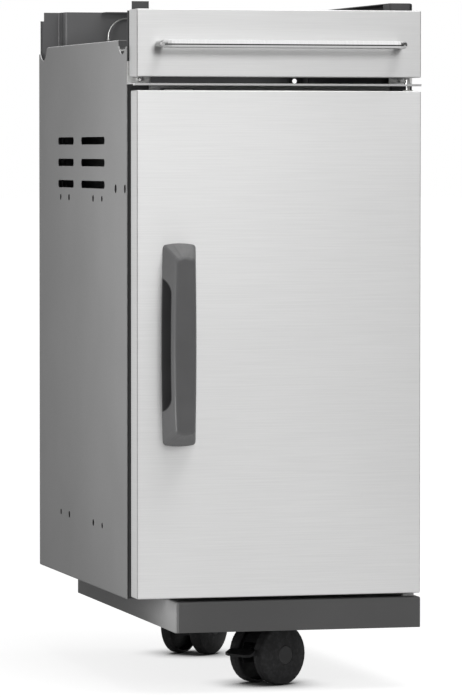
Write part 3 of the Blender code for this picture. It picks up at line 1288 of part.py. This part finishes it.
def build_pedal(swivel, name):
    """Brake pedal with a wide sloping tread behind the wheels, on a cross pin."""
    pivot = (-CASTER_TRAIL - PEDAL_PIVOT_OUT, 0.0, WHEEL_RADIUS + PEDAL_PIVOT_UP)
    half = WHEEL_TRACK / 2.0 - WHEEL_WIDTH / 2.0 - HOUSING_SIDE_GAP
    mesh = bmesh.new()
    prism(mesh, circle((pivot[0], pivot[2]), PEDAL_PIN_RADIUS, 12), 1, -half, half)
    make_piece("pedal_pin_" + name, mesh, ZINC, swivel, smooth=35.0)

    axis = make_axis("pedal_axis_" + name, pivot, swivel)
    neck = half - PEDAL_EAR - HOUSING_SIDE_GAP
    wide = PEDAL_TREAD_WIDTH / 2.0
    start = -(PEDAL_TREAD_START - PEDAL_PIVOT_OUT)
    end = -(PEDAL_TREAD_END - PEDAL_PIVOT_OUT)
    outline = [(0.0, -neck), (0.0, neck), (start + 0.002, neck), (start, wide), (end + 0.002, wide),
               (end - 0.002, wide * 0.5), (end - 0.003, 0.0), (end - 0.002, -wide * 0.5),
               (end + 0.002, -wide), (start, -wide), (start + 0.002, -neck)]
    half_sheet = PEDAL_THICKNESS / 2.0
    side = [(0.002, half_sheet), (start + 0.003, half_sheet), (start, half_sheet - 0.001),
            (end - 0.0005, half_sheet - PEDAL_DROP), (end - 0.0005, -half_sheet - PEDAL_DROP),
            (start + 0.001, -half_sheet - 0.0025), (start + 0.004, -half_sheet), (0.002, -half_sheet)]
    mesh = bmesh.new()
    prism(mesh, side, 1, -wide - 0.001, wide + 0.001)
    pedal = make_piece("brake_pedal_" + name, mesh, BLACK_PLASTIC, axis, smooth=35.0)
    plan = bmesh.new()
    prism(plan, outline, 2, -0.020, 0.015)
    shape_with(pedal, plan, "INTERSECT")
    barrel = bmesh.new()
    prism(barrel, circle((0.0, 0.0), PEDAL_BARREL_RADIUS, 20), 1, -neck, neck)
    shape_with(pedal, barrel, "UNION")
    bore = bmesh.new()
    prism(bore, circle((0.0, 0.0), PEDAL_PIN_RADIUS + SEAT_GAP, 12), 1, -wide, wide)
    shape_with(pedal, bore, "DIFFERENCE")


def main():
    """Build the whole cabinet."""
    clear_scene()
    cabinet = make_axis("cabinet_origin", (-BODY_WIDTH / 2.0, -OUTLINE_MIDDLE_Y, 0.0))
    build_left_panel(cabinet)
    build_right_panel(cabinet)
    build_posts(cabinet)
    build_back_panel(cabinet)
    build_floor_panel(cabinet)
    build_base(cabinet)
    build_divider(cabinet)
    build_hinge_parts(cabinet)
    build_catch(cabinet)
    build_slides(cabinet)
    build_hook(cabinet)
    door = make_axis("door_hinge_axis", (HINGE_X, HINGE_Y, DOOR_BOTTOM), cabinet)
    build_door(door)
    build_grip(door)
    drawer = make_axis("drawer_axis", (BODY_WIDTH / 2.0, DRAWER_REAR_Y, DRAWER_BOTTOM), cabinet)
    build_drawer(drawer)
    for index, name, middle_y in ((0, "front", CASTER_FRONT_Y), (1, "rear", CASTER_REAR_Y)):
        centre_x = CASTER_X[index]
        build_stem(cabinet, name, centre_x, middle_y)
        swivel = make_axis("swivel_axis_" + name, (centre_x, middle_y, 0.0), cabinet,
                           CASTER_TURN[index])
        build_housing(swivel, name, index == 0)
        build_wheels(swivel, name)
        if index == 0:
            build_pedal(swivel, name)


main()
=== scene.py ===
"""Looks of the grill side cabinet: the photo's camera, materials, floor, cards and lamps."""

import math

import bpy
from mathutils import Matrix, Vector

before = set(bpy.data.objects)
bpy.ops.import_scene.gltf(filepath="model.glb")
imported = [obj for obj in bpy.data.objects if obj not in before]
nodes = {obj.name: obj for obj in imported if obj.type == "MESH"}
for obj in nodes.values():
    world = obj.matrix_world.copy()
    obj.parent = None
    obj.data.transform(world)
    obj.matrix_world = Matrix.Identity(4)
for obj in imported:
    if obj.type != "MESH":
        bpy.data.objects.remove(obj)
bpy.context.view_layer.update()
scene = bpy.context.scene

WHITE = (1.0, 1.0, 1.0, 1.0)

# Camera, at the place that the photograph was taken from
CAMERA_PLACE = (-1.5714512, -6.1161306, 0.6985011)
CAMERA_YAW = math.radians(14.4526)
CAMERA_PITCH = math.radians(2.41557)
CAMERA_ROLL = math.radians(0.0203)
CAMERA_LENS = 243.3
CAMERA_SENSOR = 36.0

camera_data = bpy.data.cameras.new("photo_camera")
camera_data.lens = CAMERA_LENS
camera_data.sensor_width = CAMERA_SENSOR
camera = bpy.data.objects.new("photo_camera", camera_data)
scene.collection.objects.link(camera)
camera.location = CAMERA_PLACE
camera.rotation_euler = (Matrix.Rotation(-CAMERA_YAW, 4, "Z")
                         @ Matrix.Rotation(math.pi / 2.0 - CAMERA_PITCH, 4, "X")
                         @ Matrix.Rotation(CAMERA_ROLL, 4, "Z")).to_euler()
scene.camera = camera
scene.view_settings.view_transform = "Standard"

# Sockets of a Mix node that mixes colours, whose names occur more than once
MIX_FACTOR = 0
MIX_FIRST = 6
MIX_SECOND = 7
MIX_RESULT = 2

# Middle part of a noise's values, which is spread over a whole change of tone or roughness
FULL_SPAN = (0.0, 1.0)
NOISE_SPAN = (0.30, 0.70)
SPECK_SPAN = (0.25, 0.75)
SCUFF_SPAN = (0.45, 0.75)

# Grain of the stainless sheet, as a scale for each axis: level lines, or lines square to X
GRAIN_LEVEL = (1.0, 1.0, 60.0)
GRAIN_ACROSS = (60.0, 1.0, 1.0)

# Sheen of the brushed fronts, spread up and down by a quarter turn of its direction
BRUSHED_ROUGHNESS = 0.424
BRUSHED_SHEEN = 0.833
SHEEN_TURN = 0.25

# Painted shade: grey level of a dark reflection line painted where the sheet turns round a
# vertical bend, and the products of the normal's X and Y between which it sets in
BEND_PAINTED_SHADE = 0.66
BEND_SHADE_SPAN = (0.05, 0.40)

# Side panels: painted shade on the walls of the holes and vents, painted highlight on the upper
# edge. The spans say where those faces lie and which way they face
HOLE_PAINTED_SHADE = 0.10
HOLE_FACING_X = (-0.3, 0.3)
PANEL_HOLES_Y = (-0.2190, 0.3000)
PANEL_HOLES_Z = (0.150, 0.790)
TOP_EDGE_PAINTED_HIGHLIGHT = 3.6
EDGE_FACING_Z = (0.5, 1.5)
PANEL_TOP_Z = (0.800, 0.900)


def shade(colour, amount):
    """The colour made lighter or darker by a share."""
    return tuple(min(max(channel * (1.0 + amount), 0.0), 1.0) for channel in colour)


class Tree:
    """Short ways to add and join the nodes of a material or world."""

    def __init__(self, owner, bare=False):
        owner.use_nodes = True
        self.owner = owner
        self.nodes = owner.node_tree.nodes
        self.links = owner.node_tree.links
        if bare:
            self.nodes.clear()

    def add(self, kind, **values):
        """New node with its settings."""
        node = self.nodes.new(kind)
        for key, value in values.items():
            setattr(node, key, value)
        return node

    def put(self, value, target):
        """Feed a socket with another node's output or with a plain value."""
        if isinstance(value, bpy.types.NodeSocket):
            self.links.new(value, target)
        else:
            target.default_value = value

    def calculate(self, operation, *values):
        """Result of a Math node."""
        node = self.add("ShaderNodeMath", operation=operation)
        for value, target in zip(values, node.inputs):
            self.put(value, target)
        return node.outputs[0]

    def mapped(self, value, low, high, span=FULL_SPAN, kind="LINEAR"):
        """Low to high as the value goes through a span, and held there beyond its ends."""
        node = self.add("ShaderNodeMapRange", interpolation_type=kind)
        self.put(value, node.inputs["Value"])
        self.put(span[0], node.inputs["From Min"])
        self.put(span[1], node.inputs["From Max"])
        self.put(low, node.inputs["To Min"])
        self.put(high, node.inputs["To Max"])
        return node.outputs["Result"]

    def uneven(self, level, noise, less, more, span=NOISE_SPAN):
        """A level made lower and higher as the noise goes."""
        return self.mapped(noise, level - less, level + more, span)


class Surface(Tree):
    """A material with one Principled shader, and patterns on the piece's own coordinates."""

    def __init__(self, name):
        super().__init__(bpy.data.materials.new(name))
        self.shader = self.nodes["Principled BSDF"].inputs
        coordinates = self.add("ShaderNodeTexCoord").outputs
        self.place = coordinates["Object"]
        self.normal = coordinates["Normal"]

    def noise(self, scale, detail, stretch=(1.0, 1.0, 1.0), roughness=0.5):
        """Noise, drawn out along the axes whose stretch is small."""
        mapping = self.add("ShaderNodeMapping")
        self.put(self.place, mapping.inputs["Vector"])
        self.put(stretch, mapping.inputs["Scale"])
        node = self.add("ShaderNodeTexNoise")
        self.put(mapping.outputs["Vector"], node.inputs["Vector"])
        self.put(scale, node.inputs["Scale"])
        self.put(detail, node.inputs["Detail"])
        self.put(roughness, node.inputs["Roughness"])
        return node.outputs["Fac"]

    def cells(self, scale):
        """Cells: the distance from their middles, and a colour for each."""
        node = self.add("ShaderNodeTexVoronoi")
        self.put(self.place, node.inputs["Vector"])
        self.put(scale, node.inputs["Scale"])
        return node.outputs["Distance"], node.outputs["Color"]

    def mix(self, way, factor, first, second):
        """Two colours mixed."""
        node = self.add("ShaderNodeMix", data_type="RGBA", blend_type=way)
        self.put(factor, node.inputs[MIX_FACTOR])
        self.put(first, node.inputs[MIX_FIRST])
        self.put(second, node.inputs[MIX_SECOND])
        return node.outputs[MIX_RESULT]

    def toned(self, colour, grey):
        """A colour times a grey level."""
        return self.mix("MULTIPLY", 1.0, colour, grey)

    def clouded(self, colour, noise, darker, lighter, span=NOISE_SPAN):
        """The colour made darker and lighter by a share as the noise goes."""
        return self.mix("MIX", self.mapped(noise, 0.0, 1.0, span),
                        (*shade(colour, -darker), 1.0), (*shade(colour, lighter), 1.0))

    def bump(self, height, distance, strength):
        """Normal of a surface with fine relief."""
        node = self.add("ShaderNodeBump")
        self.put(height, node.inputs["Height"])
        self.put(distance, node.inputs["Distance"])
        self.put(strength, node.inputs["Strength"])
        return node.outputs["Normal"]

    def parts(self, vector):
        """X, Y and Z of a vector."""
        split = self.add("ShaderNodeSeparateXYZ")
        self.put(vector, split.inputs["Vector"])
        return split.outputs

    def within(self, value, span):
        """1 where a value lies in a span, else 0."""
        middle = (span[0] + span[1]) / 2.0
        half = (span[1] - span[0]) / 2.0
        return self.calculate("COMPARE", value, middle, half)

    def hole_shade_mask(self):
        """1 on the walls of the holes and vents cut through a side panel, where shade is
        painted.
        """
        place = self.parts(self.place)
        area = self.calculate("MULTIPLY", self.within(place["Y"], PANEL_HOLES_Y),
                              self.within(place["Z"], PANEL_HOLES_Z))
        facing = self.within(self.parts(self.normal)["X"], HOLE_FACING_X)
        return self.calculate("MULTIPLY", area, facing)

    def top_highlight_mask(self):
        """1 on the upper edge of a side panel, where a highlight is painted on the coat."""
        facing = self.within(self.parts(self.normal)["Z"], EDGE_FACING_Z)
        area = self.within(self.parts(self.place)["Z"], PANEL_TOP_Z)
        return self.calculate("MULTIPLY", facing, area)

    def painted_bend_shade(self):
        """Painted shade: a grey level that is lower where the sheet turns round a vertical bend.
        """
        facing = self.parts(self.normal)
        turned = self.calculate("MULTIPLY", facing["X"], facing["Y"])
        return self.mapped(self.calculate("ABSOLUTE", turned), 1.0, BEND_PAINTED_SHADE, BEND_SHADE_SPAN)

    def finish(self, colour, roughness, normal, levels):
        """Join the patterns to the shader, set its plain levels and give the material."""
        self.put(colour, self.shader["Base Color"])
        self.put(roughness, self.shader["Roughness"])
        self.put(normal, self.shader["Normal"])
        for key, level in levels.items():
            self.put(level, self.shader[key])
        return self.owner


def sheet_steel(name, colour, roughness, grain=GRAIN_LEVEL, sheen=0.0):
    """Stainless sheet with faint grain lines and streaks. A sheen makes it brushed."""
    tree = Surface(name)
    if sheen:
        tangent = tree.add("ShaderNodeTangent", direction_type="RADIAL", axis="Z")
        tree.put(tangent.outputs["Tangent"], tree.shader["Tangent"])
        tree.put(sheen, tree.shader["Anisotropic"])
        tree.put(SHEEN_TURN, tree.shader["Anisotropic Rotation"])
    lines = tree.noise(scale=45.0, detail=3.0, stretch=grain)
    streaks = tree.noise(scale=12.0, detail=3.0, stretch=grain)
    clouds = tree.noise(scale=3.0, detail=2.0)
    sheet = tree.clouded(colour, clouds, darker=0.025, lighter=0.025)
    sheet = tree.toned(sheet, tree.uneven(1.0, streaks, less=0.03, more=0.02))
    # Painted shade: darker where the sheet turns round a vertical bend
    sheet = tree.toned(sheet, tree.painted_bend_shade())
    gloss = tree.uneven(roughness, lines, less=0.03, more=0.03)
    relief = tree.bump(lines, distance=0.00002, strength=0.35)
    return tree.finish(sheet, gloss, relief, {"Metallic": 1.0})


def coated_steel(name, colour, roughness, specular=0.5, panel=False):
    """Baked coat with orange peel. Side panels get painted hole shade and a painted top
    highlight.
    """
    tree = Surface(name)
    clouds = tree.noise(scale=5.0, detail=3.0)
    coat = tree.clouded(colour, clouds, darker=0.05, lighter=0.05)
    if panel:
        # Painted shade on the hole and vent walls, and a painted highlight on the top edge
        coat = tree.toned(coat, tree.mapped(tree.hole_shade_mask(), 1.0, HOLE_PAINTED_SHADE))
        coat = tree.toned(coat, tree.mapped(tree.top_highlight_mask(), 1.0, TOP_EDGE_PAINTED_HIGHLIGHT))
    specks = tree.noise(scale=900.0, detail=1.0)
    gloss = tree.uneven(roughness, specks, less=0.06, more=0.06, span=SPECK_SPAN)
    peel = tree.bump(tree.noise(scale=420.0, detail=2.0), distance=0.00003, strength=0.6)
    return tree.finish(coat, gloss, peel, {"Specular IOR Level": specular})


def moulded_plastic(name, colour, roughness, grain=1500.0, specular=0.5):
    """Moulded plastic with a fine leather-like grain."""
    tree = Surface(name)
    height, _ = tree.cells(grain)
    clouds = tree.noise(scale=14.0, detail=3.0)
    tone = tree.clouded(colour, clouds, darker=0.06, lighter=0.06)
    gloss = tree.uneven(roughness, tree.noise(scale=60.0, detail=2.0), less=0.05, more=0.07)
    relief = tree.bump(height, distance=0.00003, strength=0.5)
    return tree.finish(tone, gloss, relief, {"Specular IOR Level": specular})


def zinc_plate(name, colour, roughness, spangle):
    """Zinc plating with faint spangle and tool marks."""
    tree = Surface(name)
    _, tint = tree.cells(spangle)
    split = tree.add("ShaderNodeSeparateColor")
    tree.put(tint, split.inputs["Color"])
    tone = tree.clouded(colour, split.outputs["Red"], darker=0.07, lighter=0.07,
                        span=FULL_SPAN)
    gloss = tree.uneven(roughness, tree.noise(scale=220.0, detail=3.0), less=0.08, more=0.10)
    marks = tree.bump(tree.noise(scale=500.0, detail=2.0), distance=0.00002, strength=0.4)
    return tree.finish(tone, gloss, marks, {"Metallic": 1.0})


def tyre_plastic(name, colour, roughness, specular):
    """Wheel plastic, dusty and scuffed."""
    tree = Surface(name)
    scuffs = tree.noise(scale=160.0, detail=4.0, roughness=0.7)
    tone = tree.clouded(colour, scuffs, darker=0.0, lighter=0.9, span=SCUFF_SPAN)
    gloss = tree.uneven(roughness, tree.noise(scale=30.0, detail=2.0), less=0.08, more=0.12)
    relief = tree.bump(scuffs, distance=0.00008, strength=0.5)
    return tree.finish(tone, gloss, relief, {"Specular IOR Level": specular})


def dress(names, material):
    """Give CAD nodes a material."""
    for name in names.split():
        node = nodes[name]
        node.data.materials.clear()
        node.data.materials.append(material)


# Fronts, divider plate and bar handle
dress("door_skin", sheet_steel(
    "door_steel", (0.780, 0.780, 0.778), BRUSHED_ROUGHNESS, sheen=BRUSHED_SHEEN))
# Painted shade: the drawer front is the door's steel made darker, for its lower tone under this
# light
dress("drawer_front", sheet_steel(
    "drawer_steel_painted_shade", (0.675, 0.675, 0.673), BRUSHED_ROUGHNESS, sheen=BRUSHED_SHEEN))
dress("divider_plate", sheet_steel(
    "plate_steel", (0.72, 0.72, 0.72), roughness=0.34, grain=GRAIN_ACROSS))
dress("drawer_handle", sheet_steel(
    "bar_steel", (0.86, 0.86, 0.86), roughness=0.09, grain=GRAIN_ACROSS))

# Coated panels, posts, rail, base and what lies inside
dress("left_side_panel", coated_steel(
    "side_coat", (0.186, 0.186, 0.186), roughness=0.60, specular=0.10, panel=True))
dress("floor_panel caster_channel_front caster_channel_rear", coated_steel(
    "dark_coat", (0.055, 0.055, 0.057), roughness=0.50))
dress("right_side_panel", coated_steel(
    "dark_panel_coat", (0.055, 0.055, 0.057), roughness=0.50, panel=True))
dress("post_front_left post_front_right post_rear_left post_rear_right", coated_steel(
    "post_coat", (0.075, 0.075, 0.077), roughness=0.48))
dress("back_panel", coated_steel(
    "back_coat", (0.085, 0.085, 0.087), roughness=0.50))
dress("base_tray", coated_steel(
    "base_coat", (0.135, 0.135, 0.135), roughness=0.55, specular=0.12))
dress("door_liner drawer_liner drawer_box", coated_steel(
    "inner_coat", (0.12, 0.12, 0.12), roughness=0.50))
# Painted light: the rail's dark grey coat is made lighter, so its front under the plate's shadow
# shows mid grey
dress("front_cross_rail", coated_steel(
    "rail_coat_painted_light", (0.30, 0.30, 0.30), roughness=0.50))

# Plated slides, brackets, pins, screws and hook
dress("slide_outer_left slide_outer_right slide_inner_left slide_inner_right catch_strike",
      zinc_plate("zinc", (0.55, 0.55, 0.54), roughness=0.36, spangle=260.0))
# Painted light: a lighter copy of the zinc, so front faces that mirror the dark cards still show
# light grey
dress("slide_rail_left slide_rail_right hinge_block", zinc_plate(
    "bracket_zinc_painted_light", (0.78, 0.78, 0.77), roughness=0.52, spangle=260.0))
dress("slide_bracket_screw_left slide_bracket_screw_right hinge_pin_top hinge_pin_bottom "
      "axle_front axle_rear pedal_pin_front caster_stem_front caster_stem_rear "
      "caster_nut_front caster_nut_rear door_handle_screw_top door_handle_screw_bottom "
      "drawer_handle_screw_left drawer_handle_screw_right",
      zinc_plate("bright_zinc", (0.66, 0.66, 0.65), roughness=0.30, spangle=400.0))
dress("wire_hook", zinc_plate(
    "hook_zinc", (0.52, 0.52, 0.51), roughness=0.42, spangle=400.0))

# Plastics
dress("door_handle", moulded_plastic(
    "grip_plastic", (0.138, 0.138, 0.140), roughness=0.38))
# Near black: the catch's own plastic, and on the handle's pocket liner painted shade for the
# dark inside the recess
dress("handle_pocket magnetic_catch", moulded_plastic(
    "catch_and_pocket_shade_plastic", (0.02, 0.02, 0.021), roughness=0.55))
dress("caster_housing_front caster_housing_rear brake_pedal_front", moulded_plastic(
    "caster_plastic", (0.018, 0.018, 0.019), roughness=0.45, specular=0.2))
dress("hub_cap_front_left hub_cap_front_right hub_cap_rear_left hub_cap_rear_right",
      moulded_plastic("hub_plastic", (0.058, 0.058, 0.059), roughness=0.42, specular=0.2))
dress("wheel_front_left wheel_front_right wheel_rear_left wheel_rear_right", tyre_plastic(
    "tyre", (0.038, 0.038, 0.039), roughness=0.50, specular=0.15))
dress("door_bush_top door_bush_bottom", moulded_plastic(
    "nylon", (0.72, 0.72, 0.69), roughness=0.50, grain=900.0))

# Floor. Between the near and the far distance (metres) it fades into the white background
FLOOR_REACH = 60.0
FLOOR_NEAR = 1.2
FLOOR_FAR = 3.2
FLOOR_ROUGHNESS = 0.9
FLOOR_SPECULAR = 0.1

# Grey that throws light back on the object, and grey near it that carries its shadow
FLOOR_BOUNCE = 0.82
FLOOR_SHADED = 0.40

# Glow near the object, for the camera and in reflections. Far off it is 1 for both
FLOOR_GLOW = 0.82
FLOOR_MIRRORED = 0.36

# Contact shadow: up to what distance (metres) a piece takes from the glow, and between
# which open shares of the sky
FLOOR_CONTACT = 0.06
FLOOR_OPEN = (0.35, 0.95)


def floor_material():
    """White floor that keeps its shadow and runs out into the white background."""
    tree = Surface("floor_white")
    tree.put(FLOOR_ROUGHNESS, tree.shader["Roughness"])
    tree.put(FLOOR_SPECULAR, tree.shader["Specular IOR Level"])
    tree.put(WHITE, tree.shader["Emission Color"])
    rays = tree.add("ShaderNodeLightPath").outputs
    seen = tree.calculate("MAXIMUM", rays["Is Camera Ray"], rays["Is Glossy Ray"])
    distance = tree.add("ShaderNodeVectorMath", operation="LENGTH")
    tree.put(tree.place, distance.inputs[0])
    away = tree.mapped(distance.outputs["Value"], 0.0, 1.0, (FLOOR_NEAR, FLOOR_FAR),
                       "SMOOTHSTEP")
    shaded = tree.mapped(away, FLOOR_SHADED, 0.0)
    tree.put(tree.mapped(seen, FLOOR_BOUNCE, shaded), tree.shader["Base Color"])
    near_glow = tree.mapped(rays["Is Glossy Ray"], FLOOR_GLOW, FLOOR_MIRRORED)
    glow = tree.mapped(away, near_glow, 1.0)
    contact = tree.add("ShaderNodeAmbientOcclusion")
    tree.put(FLOOR_CONTACT, contact.inputs["Distance"])
    open_sky = tree.mapped(contact.outputs["AO"], 0.0, 1.0, FLOOR_OPEN)
    lit = tree.calculate("MULTIPLY", glow, open_sky)
    tree.put(tree.calculate("MULTIPLY", lit, seen), tree.shader["Emission Strength"])
    return tree.owner


def flat_mesh(name, corners):
    """Object with one face."""
    mesh = bpy.data.meshes.new(name)
    mesh.from_pydata(corners, [], [(0, 1, 2, 3)])
    item = bpy.data.objects.new(name, mesh)
    scene.collection.objects.link(item)
    return item


def lying(height, *places):
    """Corners of a level face above four places on the floor."""
    return [(x, y, height) for x, y in places]


def upright(first, second, low, high):
    """Corners of an upright face between two places on the floor."""
    return [(*first, low), (*second, low), (*second, high), (*first, high)]


floor = flat_mesh("floor", lying(0.0, (-FLOOR_REACH, -FLOOR_REACH), (FLOOR_REACH, -FLOOR_REACH),
                                 (FLOOR_REACH, FLOOR_REACH), (-FLOOR_REACH, FLOOR_REACH)))
floor.data.materials.append(floor_material())


def card(name, level, corners):
    """Grey studio card that only shows in reflections, as a photographer sets for metal."""
    item = flat_mesh(name, corners)
    tree = Tree(bpy.data.materials.new(name), bare=True)
    glow = tree.add("ShaderNodeEmission")
    tree.put(level, glow.inputs["Strength"])
    tree.put(glow.outputs[0], tree.add("ShaderNodeOutputMaterial").inputs["Surface"])
    tree.owner.cycles.emission_sampling = "NONE"
    item.data.materials.append(tree.owner)
    item.visible_camera = False
    item.visible_diffuse = False
    item.visible_shadow = False
    item.visible_transmission = False
    item.visible_volume_scatter = False


# Cards. Two lie just above the floor, and the far card stands on the front card's far edge
CARD_LIFT = 0.02
card("front_card", level=0.04,
     corners=lying(CARD_LIFT, (-6.0, -7.5), (9.0, -7.5), (9.0, -1.5), (-6.0, -1.5)))
card("far_card", level=0.04,
     corners=upright((-6.0, -7.5), (9.0, -7.5), low=CARD_LIFT, high=1.4))
card("rear_floor_card", level=0.72,
     corners=lying(CARD_LIFT, (-5.0, 0.9), (0.2, 0.9), (0.6, 5.0), (-5.0, 5.0)))
card("right_card", level=0.15,
     corners=upright((2.2, -1.8), (2.2, 1.6), low=0.5, high=2.6))
card("left_card", level=0.58,
     corners=upright((-2.3, 0.6), (-2.3, -2.6), low=0.35, high=2.2))
card("rear_card", level=0.76,
     corners=upright((0.6, 5.0), (-4.0, 4.0), low=0.0, high=2.6))

# Sky: white where it is seen, plain grey where it only lights
SKY_LEVEL = 0.30
world = bpy.data.worlds.new("studio")
scene.world = world
sky = Tree(world, bare=True)
rays = sky.add("ShaderNodeLightPath").outputs
seen = sky.calculate("MAXIMUM", rays["Is Camera Ray"], rays["Is Glossy Ray"])
seen = sky.calculate("MAXIMUM", seen, rays["Is Transmission Ray"])
background = sky.add("ShaderNodeBackground")
sky.put(WHITE, background.inputs["Color"])
sky.put(sky.mapped(seen, SKY_LEVEL, 1.0), background.inputs["Strength"])
sky.put(background.outputs[0], sky.add("ShaderNodeOutputWorld").inputs["Surface"])


def lamp(name, place, aim, size, power):
    """Soft rectangular lamp that points at a spot."""
    data = bpy.data.lights.new(name, "AREA")
    data.shape = "RECTANGLE"
    data.size, data.size_y = size
    data.energy = power
    item = bpy.data.objects.new(name, data)
    scene.collection.objects.link(item)
    item.location = place
    way = Vector(aim) - Vector(place)
    item.rotation_euler = way.to_track_quat("-Z", "Y").to_euler()
    item.visible_camera = False
    return item


def pieces(words):
    """CAD nodes whose names hold one of the words."""
    return [nodes[name] for name in sorted(nodes) if any(word in name for word in words.split())]


def keep_to(item, things, state):
    """Let a lamp reach only some pieces (INCLUDE) or all but them (EXCLUDE)."""
    group = bpy.data.collections.new(item.name + "_flag")
    for thing in things:
        group.objects.link(thing)
    for entry in group.collection_objects:
        entry.light_linking.link_state = state
    item.light_linking.receiver_collection = group


# Bright round pieces, on which a lamp in front would show as a spot of pure white
MIRRORING = "drawer_handle screw hinge_pin"

key_lamp = lamp("key_lamp", place=(-0.95, -0.62, 0.72), aim=(-0.19, -0.20, 0.50),
                size=(0.4, 0.8), power=11.0)
keep_to(key_lamp, [floor] + pieces("drawer_handle base_tray door_handle wheel hub caster pedal "
                                   "axle screw post_front door_skin drawer_front"), "EXCLUDE")
corner_lamp = lamp("corner_lamp", place=(-0.27, -0.26, 0.13), aim=(-0.14, -0.24, 0.12),
                   size=(0.06, 0.06), power=0.40)
keep_to(corner_lamp, pieces("base_tray"), "INCLUDE")
grip_lamp = lamp("grip_lamp", place=(-1.0, -0.45, 0.20), aim=(-0.13, -0.28, 0.44),
                 size=(0.25, 0.25), power=2.8)
keep_to(grip_lamp, [nodes["door_handle"]], "INCLUDE")
front_lamp = lamp("front_lamp", place=(0.50, -3.2, 1.90), aim=(0.50, -0.3, 1.90),
                  size=(1.2, 0.8), power=12.5)
keep_to(front_lamp, pieces(MIRRORING), "EXCLUDE")
top_lamp = lamp("top_lamp", place=(0.5, -0.9, 3.9), aim=(0.0, 0.0, 0.0),
                size=(2.6, 2.6), power=60.0)
keep_to(top_lamp, pieces(MIRRORING), "EXCLUDE")
